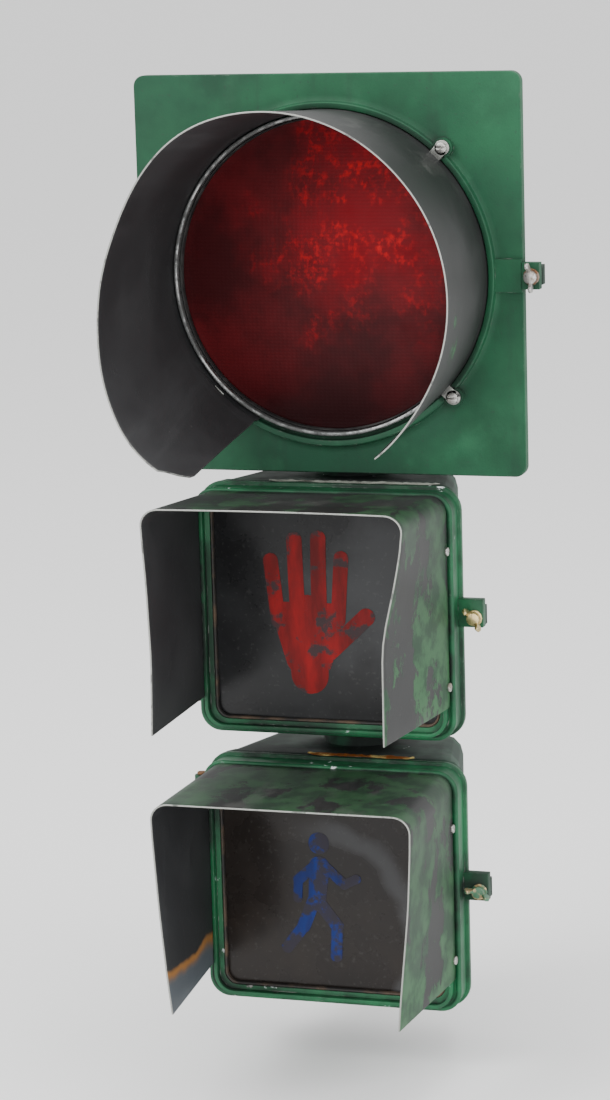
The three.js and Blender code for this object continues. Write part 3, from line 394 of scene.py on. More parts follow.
def rust_arc(tree, colour, place, axes, centre_z, inside):
    """A wavy line of rust inside the left cheek, and the cheek paler and bluer below it."""
    x, y, z = axes
    along = maths(tree, "SUBTRACT", z, maths(tree, "MULTIPLY", y, -0.05))
    line = maths(tree, "ADD", along, maths(tree, "MULTIPLY", plain_noise(tree, place, 14, 4), 0.03))
    at = centre_z - 0.047
    cheek = both(tree, ramp(tree, x, -0.07, -0.09), inside)
    band = both(tree, ramp(tree, line, at - 0.012, at), ramp(tree, line, at + 0.006, at))
    colour = cover(tree, colour, both(tree, band, cheek), 0.85, RUST_LINE)
    below = both(tree, ramp(tree, line, at, at - 0.01), cheek)
    return cover(tree, colour, below, 0.5, BELOW_RUST)


def hood_paint(name, centre_z, rim_y, show_green, rust, shift):
    material, tree = start_material(name)
    place = place_of(tree)
    x, y, z = axis_of(tree, place)
    world_normal = add(tree, "NewGeometry").outputs["True Normal"]
    own_frame = {"vector_type": "NORMAL", "convert_from": "WORLD", "convert_to": "OBJECT"}
    normal_out = add(tree, "VectorTransform", own_frame, i0=world_normal).outputs[0]
    from_middle = vectors(tree, "SUBTRACT", place, (0, 0, centre_z))
    flat = vectors(tree, "MULTIPLY", from_middle, (1, 0, 1))
    outside = ramp(tree, vectors(tree, "DOT_PRODUCT", flat, normal_out), -0.01, 0.01)
    broad = cloud(tree, place, 6, 0.35, 0.68)
    inner = blend_colours(tree, broad, *MATT_INSIDE)
    dust = cloud(tree, stretched(tree, place, (40, 3, 6)), 1.0, 0.5, 0.8, shift=1.7)
    inner = cover(tree, inner, dust, 0.25, PALE_DUST)
    outer = blend_colours(tree, broad, *CHARCOAL)
    more = show_green * 0.22
    streak = cloud(tree, stretched(tree, place, (22, 14, 9)), 1.1, 0.64 - more, 0.66 - more,
                   detail=12, rough=0.68, shift=shift)
    low = ramp(tree, z, centre_z + 0.12, centre_z - 0.12)
    streak = both(tree, streak, masks(tree, "ADD", both(tree, low, 0.5), 0.55))
    green = blend_colours(tree, cloud(tree, place, 40, 0.4, 0.6, shift=3.3), *OLD_GREEN)
    outer = blend_colours(tree, streak, outer, green)
    grey = cloud(tree, stretched(tree, place, (20, 9, 4)), 1.2, 0.56, 0.72, shift=7.7)
    outer = cover(tree, outer, grey, 0.45, WEATHERED)
    colour = blend_colours(tree, outside, inner, outer)
    if rust:
        inside = maths(tree, "SUBTRACT", 1.0, outside)
        colour = rust_arc(tree, colour, place, (x, y, z), centre_z, inside)
    colour = cover(tree, colour, cloud(tree, place, 170, 0.70, 0.75, detail=3), 0.3, PITTED)
    rub = both(tree, edge_mask(tree, 0.0012), cloud(tree, place, 55, 0.36, 0.52, shift=9.2))
    at_rim = ramp(tree, y, rim_y + 0.0016, rim_y + 0.0004)
    rim = both(tree, at_rim, cloud(tree, place, 90, 0.30, 0.42, shift=2.4))
    front = ramp(tree, vectors(tree, "DOT_PRODUCT", normal_out, (0, -1, 0)), 0.5, 0.8)
    facing_front = both(tree, front, cloud(tree, place, 75, 0.34, 0.46, shift=5.1))
    bare = masks(tree, "MAXIMUM", both(tree, rim, 0.35), facing_front)
    bare = masks(tree, "MAXIMUM", both(tree, rub, 0.7), bare)
    colour = blend_colours(tree, bare, colour, RUBBED)
    rough = blend_values(tree, bare, blend_values(tree, broad, 0.50, 0.60), 0.36)
    normal = raised(tree, plain_noise(tree, place, 9, 2), 0.006, 0.25)
    normal = raised(tree, plain_noise(tree, place, 500, 3), 0.00025, 0.5, normal)
    normal = raised(tree, streak, 0.0003, 0.6, normal)
    shade(tree, colour, rough, normal, Metallic=both(tree, bare, 0.8), Specular_IOR_Level=0.24)
    return material


print("hood finish ready")

# %% [markdown]
# Bare metals share one recipe: a base colour broken up by cloudy oxide, fine speckles of pitting
# and a brushed or cast grain in the bump. Rubber, bakelite, ceramic and wire covering are simpler,
# but each still gets its own dust, scuffs and roughness.

# %% Metals and small finishes
def metal(name, bright, oxide, amount, rough, grain_scale=300, tint=None):
    material, tree = start_material(name)
    place = place_of(tree)
    oxidised = cloud(tree, place, 38, 0.62 - amount * 0.3, 0.74 - amount * 0.25, detail=8)
    colour = blend_colours(tree, oxidised, bright, oxide)
    speck = cloud(tree, place, 420, 0.60, 0.66, detail=2, shift=1.1)
    colour = cover(tree, colour, speck, 0.6, tuple(c * 0.35 for c in oxide))
    if tint:
        kept = cloud(tree, place, 70, 0.44, 0.50, detail=6, shift=5.0)
        kept = both(tree, kept, maths(tree, "SUBTRACT", 1.0, edge_mask(tree, 0.0009)))
        colour = blend_colours(tree, kept, colour, tint)
        metallic = blend_values(tree, kept, 0.85, 0.0)
    else:
        metallic = blend_values(tree, oxidised, 0.95, 0.55)
    rough = blend_values(tree, oxidised, rough, rough + 0.25)
    normal = raised(tree, plain_noise(tree, place, grain_scale, 4), 0.0002, 0.5)
    shade(tree, colour, rough, normal, Metallic=metallic)
    return material


def plain_stuff(name, base, dusty, amount, rough, grain_scale=350, coat=0.0):
    material, tree = start_material(name)
    place = place_of(tree)
    dust = cloud(tree, place, 28, 0.60 - amount * 0.3, 0.75 - amount * 0.2, detail=7)
    colour = blend_colours(tree, dust, base, dusty)
    scuff = cloud(tree, stretched(tree, place, (60, 12, 25)), 2.0, 0.62, 0.70, shift=2.0)
    colour = cover(tree, colour, scuff, 0.4, tuple(min(1, c * 1.6 + 0.01) for c in dusty))
    rough = blend_values(tree, dust, rough, min(1, rough + 0.2))
    normal = raised(tree, plain_noise(tree, place, grain_scale, 4), 0.0002, 0.45)
    shade(tree, colour, rough, normal, Coat_Weight=coat)
    return material


bare_aluminium = metal("bare_aluminium", (0.33, 0.335, 0.33), (0.11, 0.112, 0.11), 0.75, 0.42)
plain_steel = metal("plain_steel", (0.42, 0.41, 0.39), (0.24, 0.19, 0.14), 0.35, 0.34)
rusty_steel = metal("rusty_steel", (0.30, 0.27, 0.24), (0.20, 0.10, 0.05), 0.75, 0.55)
old_brass = metal("old_brass", (0.55, 0.44, 0.22), (0.21, 0.19, 0.12), 0.45, 0.34)
painted_brass = metal("painted_brass", (0.50, 0.36, 0.20), (0.22, 0.15, 0.09), 0.5, 0.42,
                      tint=(0.055, 0.150, 0.085))
spun_mirror = metal("spun_mirror", (0.80, 0.81, 0.82), (0.45, 0.46, 0.46), 0.15, 0.12, 700)
rubber_seal = plain_stuff("rubber_seal", (0.012, 0.012, 0.012), (0.045, 0.044, 0.042), 0.4, 0.62)
glazed_ceramic = plain_stuff("glazed_ceramic", (0.66, 0.62, 0.54), (0.42, 0.37, 0.30), 0.3, 0.22, 120, 0.5)
brown_bakelite = plain_stuff("brown_bakelite", (0.035, 0.020, 0.014), (0.08, 0.06, 0.05), 0.3, 0.30, 200, 0.3)
wire_covering = plain_stuff("wire_covering", (0.030, 0.027, 0.025), (0.085, 0.075, 0.065), 0.4, 0.70, 600)
lamp_glass = plain_stuff("frosted_lamp_glass", (0.78, 0.77, 0.72), (0.55, 0.53, 0.48), 0.25, 0.30, 90, 0.4)
print("small finishes made:", len(bpy.data.materials))

# %% [markdown]
# The lenses are moulded glass. The red one is covered inside with small square prisms that catch
# the light. A painted glow stands for daylight coming back off the reflector, up and to the right
# of its middle, and the lower part is painted darker as painted shade. Two crossed waves make the
# prisms in the bump, with painted shade in the grooves, and a stretched noise gives them painted
# glints of mottled brightness. The two square lenses are nearly black, with dust hazed over them.

# %% Glass finishes
DEEP_RED = (0.036, 0.0045, 0.0055), (0.085, 0.0065, 0.0085)
PAINTED_GLOW_RED = (0.24, 0.0045, 0.010)
PAINTED_GLINT_RED = (0.60, 0.006, 0.010)
UNLIT_RED = (0.005, 0.0015, 0.002)
SCRATCHED_RED = (0.25, 0.20, 0.20)
PRISM_GROOVE_SHADE = (0.012, 0.002, 0.003)
BROWN_SMOKE = (0.011, 0.0085, 0.0075), (0.021, 0.016, 0.013)
GREY_SMOKE = (0.007, 0.007, 0.0075), (0.016, 0.0165, 0.0175)
GLASS_HAZE = (0.085, 0.088, 0.092)
GLASS_DUST = (0.16, 0.16, 0.15)


def wave(tree, place, direction, scale):
    settings = {"wave_profile": "SIN", "bands_direction": direction}
    return add(tree, "TexWave", settings, Vector=place, Scale=scale, Distortion=0.6).outputs[1]


def prism_glass(name, centre_z):
    material, tree = start_material(name)
    place = place_of(tree)
    z = axis_of(tree, place)[2]
    # Painted glow: a lighter red round a point up and to the right, for daylight off the reflector.
    from_painted_glow = vectors(tree, "DISTANCE", place, (0.040, -0.06, centre_z + 0.050))
    painted_glow = ramp(tree, ragged(tree, from_painted_glow, plain_noise(tree, place, 16, 6)), 0.120, 0.01)
    colour = blend_colours(tree, cloud(tree, place, 12, 0.35, 0.65), *DEEP_RED)
    colour = cover(tree, colour, painted_glow, 0.8, PAINTED_GLOW_RED)
    # Painted glints: fine bright specks where the painted glow is.
    glint_specks = cloud(tree, stretched(tree, place, (190, 60, 150)), 1.0, 0.42, 0.72, detail=2)
    painted_glints = both(tree, painted_glow, cloud(tree, place, 30, 0.42, 0.62, shift=8.8))
    colour = blend_colours(tree, both(tree, glint_specks, painted_glints), colour, PAINTED_GLINT_RED)
    # Painted shade: the glass is darker towards the bottom.
    colour = cover(tree, colour, ramp(tree, z, centre_z - 0.06, centre_z - 0.14), 0.65, UNLIT_RED)
    scratch = cloud(tree, stretched(tree, place, (50, 5, 4)), 1.6, 0.70, 0.76, shift=3.0)
    colour = cover(tree, colour, scratch, 0.05, SCRATCHED_RED)
    across, down = wave(tree, place, "X", 75), wave(tree, place, "Z", 95)
    normal = raised(tree, both(tree, across, down), 0.0005, 0.18)
    # Painted shade in the grooves between the prisms.
    colour = cover(tree, colour, ramp(tree, down, 0.5, 0.1), 0.10, PRISM_GROOVE_SHADE)
    rough = blend_values(tree, cloud(tree, place, 25, 0.45, 0.7, shift=4.4), 0.44, 0.60)
    shade(tree, colour, rough, normal, Coat_Weight=0.0, Specular_IOR_Level=0.10)
    return material


def smoked_glass(name, centre_z, tones, haze_place, smudge):
    """Dark glass with a patch of haze round a place, or with a wiped arc round it instead."""
    material, tree = start_material(name)
    place = place_of(tree)
    broad = cloud(tree, place, 9, 0.35, 0.68, shift=centre_z)
    spot = vectors(tree, "DISTANCE", place, haze_place)
    blob = plain_noise(tree, place, 13, 6)
    if smudge:
        wander = both(tree, maths(tree, "SUBTRACT", blob, 0.5), 0.05)
        off_arc = maths(tree, "SUBTRACT", masks(tree, "ADD", spot, wander), 0.108)
        ring = add(tree, "Math", {"operation": "ABSOLUTE"}, i0=off_arc).outputs[0]
        fading = ramp(tree, axis_of(tree, place)[0], -0.05, 0.01)
        haze = both(tree, both(tree, ramp(tree, ring, 0.016, 0.002), fading), 0.5)
    else:
        haze = both(tree, ramp(tree, ragged(tree, spot, blob), 0.085, 0.01), 0.42)
    colour = blend_colours(tree, haze, blend_colours(tree, broad, *tones), GLASS_HAZE)
    dust = cloud(tree, place, 240, 0.62, 0.68, detail=2, shift=0.6)
    colour = cover(tree, colour, dust, 0.08, GLASS_DUST)
    rough = blend_values(tree, haze, blend_values(tree, broad, 0.24, 0.40), 0.62)
    normal = raised(tree, blob, 0.002, 0.25)
    shade(tree, colour, rough, normal, Coat_Weight=0.06, Coat_Roughness=0.2, Specular_IOR_Level=0.22)
    return material


def sign_paint(name, fresh, faded, wear, glass_tone):
    """Brushed-on paint on the glass: streaky, and worn through to the dark glass in places."""
    material, tree = start_material(name)
    place = place_of(tree)
    brushed = cloud(tree, stretched(tree, place, (30, 6, 7)), 1.6, 0.35, 0.7)
    colour = blend_colours(tree, brushed, faded, fresh)
    gone = cloud(tree, place, 34, 0.62 - wear * 0.2, 0.68 - wear * 0.2, detail=9, rough=0.65, shift=2.7)
    colour = cover(tree, colour, gone, 0.88, glass_tone)
    normal = raised(tree, plain_noise(tree, place, 300, 3), 0.0001, 0.4)
    shade(tree, colour, blend_values(tree, gone, 0.5, 0.34), normal, Specular_IOR_Level=0.18)
    return material


red_prisms = prism_glass("red_prism_glass", height["red"])
wait_glass = smoked_glass("wait_smoked_glass", height["wait"], GREY_SMOKE,
                          (0.055, -0.1, height["wait"] + 0.03), False)
walk_glass = smoked_glass("walk_smoked_glass", height["walk"], BROWN_SMOKE,
                          (-0.025, -0.1, height["walk"] - 0.05), True)
wait_paint = sign_paint("wait_red_paint", (0.27, 0.005, 0.006), (0.10, 0.004, 0.004), 0.42,
                        (0.02, 0.02, 0.022))
walk_paint = sign_paint("walk_blue_paint", (0.006, 0.026, 0.17), (0.006, 0.014, 0.080), 0.64,
                        (0.024, 0.019, 0.017))
print("glass and sign paint made")

# %% [markdown]
# Most castings here are stacks of outlines: a round or a rounded-square loop at one depth, and
# the next loop a little further back or in. The first loop is a circle or a plane whose corners
# are bevelled. Each next one is extruded from it and reshaped to its own size, so the faces
# between them come by themselves. Where a square turns into a circle, both lie in one plane and
# the fill operator closes the space between them. A label on each vertex tells the loops apart.

# %% Modelling tools
UPRIGHT = (math.pi / 2, 0, 0)


def select_by(kind):
    bpy.context.tool_settings.mesh_select_mode = [kind == each for each in ("VERT", "EDGE", "FACE")]


def open_piece(name):
    """A new empty mesh, open in edit mode, whose object stays at the origin."""
    deselect()
    bpy.ops.mesh.primitive_plane_add(size=1)
    piece = bpy.context.object
    piece.name = piece.data.name = name
    bpy.ops.object.mode_set(mode="EDIT")
    select_by("VERT")
    bpy.ops.mesh.select_all(action="SELECT")
    bpy.ops.mesh.delete(type="VERT")
    return piece


def loop_layer(mesh):
    return mesh.verts.layers.int.get("loop") or mesh.verts.layers.int.new("loop")


def pick_loops(piece, numbers):
    bpy.ops.mesh.select_all(action="DESELECT")
    select_by("EDGE")
    mesh = bmesh.from_edit_mesh(piece.data)
    layer = loop_layer(mesh)
    for edge in mesh.edges:
        a, b = edge.verts
        edge.select = a[layer] == b[layer] and a[layer] in numbers
    mesh.select_flush_mode()
    bmesh.update_edit_mesh(piece.data)


def first_outline(piece, number, shape, z, steps):
    """A circle (radius, y) or a rounded square (half width, half height, corner, y), in mm."""
    bpy.ops.mesh.select_all(action="DESELECT")
    select_by("VERT")
    place = (0, shape[-1] * MM, z)
    if len(shape) == 2:
        bpy.ops.mesh.primitive_circle_add(
            vertices=128, radius=shape[0] * MM, location=place, rotation=UPRIGHT)
    else:
        bpy.ops.mesh.primitive_plane_add(size=2, location=place, rotation=UPRIGHT)
        bpy.ops.transform.resize(value=(shape[0] * MM, 1, shape[1] * MM), center_override=place)
        bpy.ops.mesh.bevel(affect="VERTICES", offset=shape[2] * MM, offset_type="OFFSET", segments=steps)
    mesh = bmesh.from_edit_mesh(piece.data)
    layer = loop_layer(mesh)
    chosen = [vert for vert in mesh.verts if vert.select]
    for vert in chosen:
        vert[layer] = number
    filled = [face for face in mesh.faces if all(vert[layer] == number for vert in face.verts)]
    bmesh.ops.delete(mesh, geom=filled, context="FACES_ONLY")
    bmesh.update_edit_mesh(piece.data)


def next_outline(piece, number, old, new, z):
    """Extrudes the last outline and gives the new one its own size, corner and depth."""
    pick_loops(piece, (number - 1,))
    bpy.ops.mesh.extrude_region_move(TRANSFORM_OT_translate={"value": (0, (new[-1] - old[-1]) * MM, 0)})
    mesh = bmesh.from_edit_mesh(piece.data)
    layer = loop_layer(mesh)
    for vert in mesh.verts:
        if not vert.select:
            continue
        vert[layer] = number
        x, up_z = vert.co.x / MM, (vert.co.z - z) / MM
        if len(new) == 2:
            x, up_z = x * new[0] / old[0], up_z * new[0] / old[0]
        else:
            side, level_side = math.copysign(1, x), math.copysign(1, up_z)
            out_x = (x - side * (old[0] - old[2])) / old[2]
            out_z = (up_z - level_side * (old[1] - old[2])) / old[2]
            x = side * (new[0] - new[2]) + out_x * new[2]
            up_z = level_side * (new[1] - new[2]) + out_z * new[2]
        vert.co = (x * MM, new[-1] * MM, up_z * MM + z)
    bmesh.update_edit_mesh(piece.data)


def stack(piece, outlines, z=0.0, closed=True, caps=False, steps=8):
    """Outlines in mm about height z, skinned one to the next. Closed joins the last to the first."""
    mesh = bmesh.from_edit_mesh(piece.data)
    layer = loop_layer(mesh)
    first = max([vert[layer] for vert in mesh.verts], default=0) + 1
    kept = None
    for index, outline in enumerate(outlines + ([outlines[0]] if closed else [])):
        if kept is not None and len(kept) == len(outline):
            next_outline(piece, first + index, kept, outline, z)
        else:
            first_outline(piece, first + index, outline, z, steps)
            if kept is not None:
                pick_loops(piece, (first + index - 1, first + index))
                bpy.ops.mesh.fill(use_beauty=False)
        kept = outline
    if caps:
        for end in (first, first + len(outlines) - 1):
            pick_loops(piece, (end,))
            bpy.ops.mesh.edge_face_add()
    select_by("VERT")


def brick(x0, x1, y0, y1, z0, z1):
    bpy.ops.mesh.select_all(action="DESELECT")
    middle = [(a + b) / 2 * MM for a, b in ((x0, x1), (y0, y1), (z0, z1))]
    bpy.ops.mesh.primitive_cube_add(size=MM, location=middle)
    bpy.ops.transform.resize(value=(x1 - x0, y1 - y0, z1 - z0), center_override=middle)


def rod(start, end, radius, steps=32):
    """A cylinder between two points, in millimetres."""
    bpy.ops.mesh.select_all(action="DESELECT")
    a, b = Vector(start) * MM, Vector(end) * MM
    turn = (b - a).to_track_quat("Z", "Y").to_euler()
    bpy.ops.mesh.primitive_cylinder_add(
        vertices=steps, radius=radius * MM, depth=(b - a).length, location=(a + b) / 2, rotation=turn)


def thicken(piece, thickness, offset=0):
    """Gives a sheet its thickness in mm, half to each side, or all of it to one side at -1."""
    sheet = piece.modifiers.new("sheet", "SOLIDIFY")
    sheet.thickness = thickness * MM
    sheet.offset = offset
    bpy.ops.object.modifier_apply(modifier="sheet")


def round_edges(piece, bevel, angle):
    """In object mode: sharp edges rounded by a bevel in mm, and smooth between them."""
    if bevel:
        rounding = piece.modifiers.new("edges", "BEVEL")
        rounding.width = bevel * MM
        rounding.segments = 2
        rounding.limit_method = "ANGLE"
        rounding.angle_limit = math.radians(angle)
        bpy.ops.object.modifier_apply(modifier="edges")
    bpy.ops.object.shade_smooth_by_angle(angle=math.radians(angle))


MERGE = 0.00002


def close_piece(piece, bevel=0.6, angle=38):
    """Doubles merged, outside faces out, then back to object mode to have its edges rounded."""
    select_by("VERT")
    bpy.ops.mesh.select_all(action="SELECT")
    bpy.ops.mesh.remove_doubles(threshold=MERGE)
    bpy.ops.mesh.normals_make_consistent(inside=False)
    bpy.ops.object.mode_set(mode="OBJECT")
    round_edges(piece, bevel, angle)
    return piece


def copy_of(piece, name):
    """A copy with its own mesh, in the same place."""
    twin = bpy.data.objects.new(name, piece.data.copy())
    twin.data.name = name
    bpy.context.scene.collection.objects.link(twin)
    return twin


def inset(size, step, corner, y):
    """A rounded square outline, a step inside a size (half width, half height)."""
    return size[0] - step, size[1] - step, corner, y


def dress(piece, material):
    piece.data.materials.clear()
    piece.data.materials.append(material)


def install(piece, material, body, slot, *nodes):
    dress(piece, material)
    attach(piece, body)
    if nodes:
        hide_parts(*nodes)
    print(piece.name, len(piece.data.polygons), "faces on", body)


print("modelling tools ready")

# %% [markdown]
# The round section's door is a pressed plate with a turned lip, a raised ring round the hood, and
# four ears on the ring for the hood's screws. A pad and a tab at the right carry the wing screw,
# and two knuckles at the left turn on the hinge pins. One stack of loops makes plate and ring in
# a single closed skin: out at the lip, across the face, over the ring and back behind the glass.

# %% The round section's door
red_z = height["red"]
low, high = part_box("red_door")
PLATE = -low[0] / MM
RING_TOP = low[1] / MM
FACE = RING_TOP + 6
HINGE = Vector(hinge["red"]) / MM
EAR_CIRCLE = 161
EAR_ANGLES = [math.radians(a) for a in (46, 134, 225, 317)]
EARS = [(EAR_CIRCLE * math.cos(a), EAR_CIRCLE * math.sin(a)) for a in EAR_ANGLES]
PLATE_IN = PLATE - 3.5

door = open_piece("red_door_skin")
stack(door, [
    (PLATE, PLATE, 10, FACE + 10), (PLATE, PLATE, 10, FACE + 0.8), (PLATE - 0.8, PLATE - 0.8, 9.2, FACE),
    (164, FACE), (160, FACE), (158.6, FACE - 0.6), (158, FACE - 1.8),
    (157.6, RING_TOP + 0.8), (156.6, RING_TOP), (153.4, RING_TOP), (152.2, RING_TOP + 0.8),
    (152, FACE + 3), (146.7, FACE + 3), (146.7, FACE + 6), (158, FACE + 6), (158, FACE + 4),
    (PLATE_IN, PLATE_IN, 6.5, FACE + 4), (PLATE_IN, PLATE_IN, 6.5, FACE + 10),
], red_z)
for ear_x, ear_z in EARS:
    rod((ear_x, FACE + 1, ear_z + red_z / MM), (ear_x, RING_TOP, ear_z + red_z / MM), 9, 40)
centre = red_z / MM
brick(153, PLATE - 0.4, FACE - 3, FACE + 1, centre - 14.5, centre + 15.5)
brick(PLATE - 1, high[0] / MM, FACE - 3, FACE + 7, centre - 11.5, centre + 12.5)
for side in (1, -1):
    seam = centre + side * 104
    rod((HINGE.x, HINGE.y, seam + 0.3), (HINGE.x, HINGE.y, seam + 12.3), 6)
    brick(HINGE.x - 4, HINGE.x + 4, FACE + 3, HINGE.y, seam + 0.3, seam + 12.3)
close_piece(door, 0.9)
install(door, plate_paint, "red_door", "green_paint", "red_door")

# %% [markdown]
# The round hood is one long sheet rolled round the lens and open below, so rain and snow fall
# out. It starts as its own profile, a line from base to rim with a small flare, and the spin
# operator sweeps that line through most of a circle. Then the free lower corners are pulled
# about as years of knocks have done: the left one bells outwards, and the rim has a kink.

# %% The round hood
BASE = FACE + 2.4
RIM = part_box("red_visor")[0][1] / MM
MIDLINE = 149.8
SHEET = 1.5
hood = open_piece("red_hood")
bpy.ops.mesh.primitive_plane_add(size=0.001, location=(MIDLINE * MM, BASE * MM, red_z))
bpy.ops.mesh.merge(type="CENTER")
STEPS_OUT = 30
FLARE = 9.0
one_step = (FLARE / STEPS_OUT * MM, (RIM - BASE) / STEPS_OUT * MM, 0)
for step in range(STEPS_OUT):
    bpy.ops.mesh.extrude_region_move(TRANSFORM_OT_translate={"value": one_step})
bpy.ops.mesh.select_all(action="SELECT")
ROWS_ROUND = 160
bpy.ops.mesh.spin(steps=ROWS_ROUND, angle=math.radians(290), center=(0, 0, red_z), axis=(0, -1, 0))
bpy.ops.object.mode_set(mode="OBJECT")


def smooth_step(value):
    value = min(1.0, max(0.0, value))
    return value * value * (3 - 2 * value)


def keyed(value, keys, soft):
    """A smooth curve by (place, size) pairs, lowest place first: straight runs, averaged over soft."""
    total = 0
    for step in range(-4, 5):
        at = min(max(value + step * soft / 4, keys[0][0]), keys[-1][0])
        pair = next(i for i in range(1, len(keys)) if at <= keys[i][0])
        (low_at, low_size), (high_at, high_size) = keys[pair - 1], keys[pair]
        total += low_size + (high_size - low_size) * (at - low_at) / (high_at - low_at)
    return total / 9


RIM_SHAPE = [(-56, 168), (-40, 163), (45, 158), (118, 161), (152, 150),
             (166, 151), (190, 160), (228, 190), (243, 186)]


def hood_place(turn, out):
    """turn runs from the lower right corner (0) over the top to the left one (1), out to the rim."""
    right = -46.4 - 9.9 * out
    left = 242.2 + 1.4 * out - 8.5 * smooth_step((out - 0.86) / 0.14) ** 1.6
    angle = right + (left - right) * turn
    radius = MIDLINE + (keyed(angle, RIM_SHAPE, 9) - MIDLINE) * out ** 1.15
    a = math.radians(angle)
    return radius * math.cos(a), radius * math.sin(a)


for vert in hood.data.vertices:
    row, step = divmod(vert.index, STEPS_OUT + 1)
    x, z = hood_place(row / ROWS_ROUND, step / STEPS_OUT)
    vert.co.x, vert.co.z = x * MM, z * MM + red_z
thicken(hood, SHEET)


def turn_selected(piece, angle, centre):
    """Turns what is selected about Y's line through centre, from +X towards +Z."""
    mesh = bmesh.from_edit_mesh(piece.data)
    turn = Matrix.Rotation(-angle, 3, "Y")
    bmesh.ops.rotate(mesh, cent=centre, matrix=turn, verts=[v for v in mesh.verts if v.select])
    bmesh.update_edit_mesh(piece.data)


bpy.ops.object.mode_set(mode="EDIT")
TAB = RING_TOP - 0.3
for ear_x, ear_z in EARS:
    brick(MIDLINE + 0.2, 161, TAB - 1.5, TAB, centre - 6, centre + 6)
    turn_selected(hood, math.atan2(ear_z, ear_x), (0, 0, red_z))
    rod((ear_x, TAB - 1.5, ear_z + centre), (ear_x, TAB, ear_z + centre), 7, 32)
close_piece(hood, 0.35, 50)
round_hood_paint = hood_paint("round_hood_paint", red_z, RIM * MM, 0.10, False, 2.0)
install(hood, round_hood_paint, "red_door", "charcoal_paint", "red_visor")

# %% [markdown]
# Inside the hood's base sits a bare cast ring, and inside that the rubber that grips the glass.
# The glass itself is a shallow dome. Its circles shrink towards the middle and follow a curve,
# and the last small circle is filled with one face.

# %% Bezel, rubber and red glass
glass_low, glass_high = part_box("red_lens")
GLASS_RADIUS = glass_high[0] / MM
SEAT = FACE + 8.4
SHOWN = 144.7

bezel = open_piece("red_bezel")
stack(bezel, [(SHOWN, FACE + 2.7), (SHOWN - 0.3, FACE - 1), (SHOWN, FACE - 4.4), (145.6, FACE - 5),
              (147.4, FACE - 5), (148.3, FACE - 4.2), (148.4, FACE + 2.7)], red_z)
close_piece(bezel, 0.4)
install(bezel, bare_aluminium, "red_door", "aluminium", "red_lens_bezel")

grip = open_piece("red_glass_rubber")
stack(grip, [(SHOWN - 0.6, FACE + 7), (SHOWN - 0.7, FACE + 1), (143.4, FACE - 0.4), (142.6, FACE + 0.8),
             (142.2, FACE + 4), (142.6, FACE + 7.6), (GLASS_RADIUS + 3, FACE + 6.4),
             (GLASS_RADIUS + 3, FACE + 14.4), (143.7, FACE + 14.4), (143.7, FACE + 12.9),
             (GLASS_RADIUS + 0.4, FACE + 12.9), (GLASS_RADIUS + 0.4, FACE + 8.1), (146, FACE + 8.1)], red_z)
close_piece(grip, 0.25)
install(grip, rubber_seal, "red_door", "rubber", "red_lens_gasket")

glass = open_piece("red_glass")
DOME = SEAT - glass_low[1] / MM
domed = [(r, SEAT - DOME * (1 - (r / 142) ** 2)) for r in (142, 134, 124, 112, 98, 82, 64, 44, 22, 4)]
back = [(r, y + 4) for r, y in reversed(domed)]
stack(glass, back + [(GLASS_RADIUS, SEAT + 4), (GLASS_RADIUS, SEAT)] + domed, red_z, closed=False, caps=True)
close_piece(glass, 0, 60)
install(glass, red_prisms, "red_door", "red_glass", "red_lens")

# %% [markdown]
# A square section's door is a deep frame: a flange at the back, a plain wall, a rounded bead round
# the front and a low collar that the hood slips over. It is stacked from rounded-square loops,
# modelled once on the middle section, and the bottom one is a copy with its own mesh.

# %% The square doors
wait_z, walk_z = height["wait"], height["walk"]
DROP = walk_z - wait_z
middle_z = wait_z / MM
low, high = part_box("wait_door")
pivot = Vector(hinge["wait"]) / MM
COLLAR_FRONT = low[1] / MM
FRONT = COLLAR_FRONT + 6
REAR = FRONT + 30
W, H = DOOR = (123.5, 115.25)
OPENING = (W - 15, H - 12)


def copy_down(piece, name):
    twin = copy_of(piece, name)
    twin.data.transform(Matrix.Translation((0, 0, DROP)))
    return twin


def install_both(upper, lower, materials, slot, node):
    """Installs a piece of the middle section and its copy in the bottom section."""
    for section, piece, material in zip(("wait", "walk"), (upper, lower), materials):
        install(piece, material, section + "_door", slot, f"{section}_{node}")


frame_skin = open_piece("wait_door_skin")
stack(frame_skin, [
    inset(DOOR, -2.1, 22, REAR), inset(DOOR, -2.1, 22, REAR - 6), inset(DOOR, 1, 19, REAR - 6),
    inset(DOOR, 1, 19, FRONT + 5.4), inset(DOOR, 0.2, 19.8, FRONT + 4.6), inset(DOOR, 0, 20, FRONT + 3.4),
    inset(DOOR, 0, 20, FRONT + 2), inset(DOOR, 0.5, 19.5, FRONT + 0.8), inset(DOOR, 1.5, 18.5, FRONT + 0.1),
    inset(DOOR, 2.6, 17.4, FRONT), inset(DOOR, 4, 16.4, FRONT + 0.3), inset(DOOR, 4.8, 16, FRONT + 1.2),
    (*OPENING, 13, FRONT + 1.2), (*OPENING, 13, FRONT + 4),
    (W - 4.5, H - 3.2, 16, FRONT + 4), (W - 4.5, H - 3.2, 16, REAR),
], wait_z)
COLLAR = (116.9, 111.05)
stack(frame_skin, [
    inset(COLLAR, 0, 19, FRONT + 2), inset(COLLAR, 0, 19, COLLAR_FRONT),
    inset(COLLAR, 3.6, 15.4, COLLAR_FRONT), inset(COLLAR, 3.6, 15.4, FRONT + 2),
], wait_z)
lug_low, lug_high = middle_z - 11.5, middle_z + 14.5
brick(W - 3, high[0] / MM, FRONT + 19.5, FRONT + 29.5, lug_low, lug_high)
for side in (1, -1):
    seam = middle_z + side * 80
    rod((pivot.x, pivot.y, seam + 0.3), (pivot.x, pivot.y, seam + 12.3), 7)
    brick(pivot.x, -W + 3, pivot.y - 7, REAR - 0.3, seam + 0.3, seam + 12.3)
close_piece(frame_skin, 0.7)
lower_skin = copy_down(frame_skin, "walk_door_skin")
install_both(frame_skin, lower_skin, (door_paint, door_paint), "green_paint", "door")

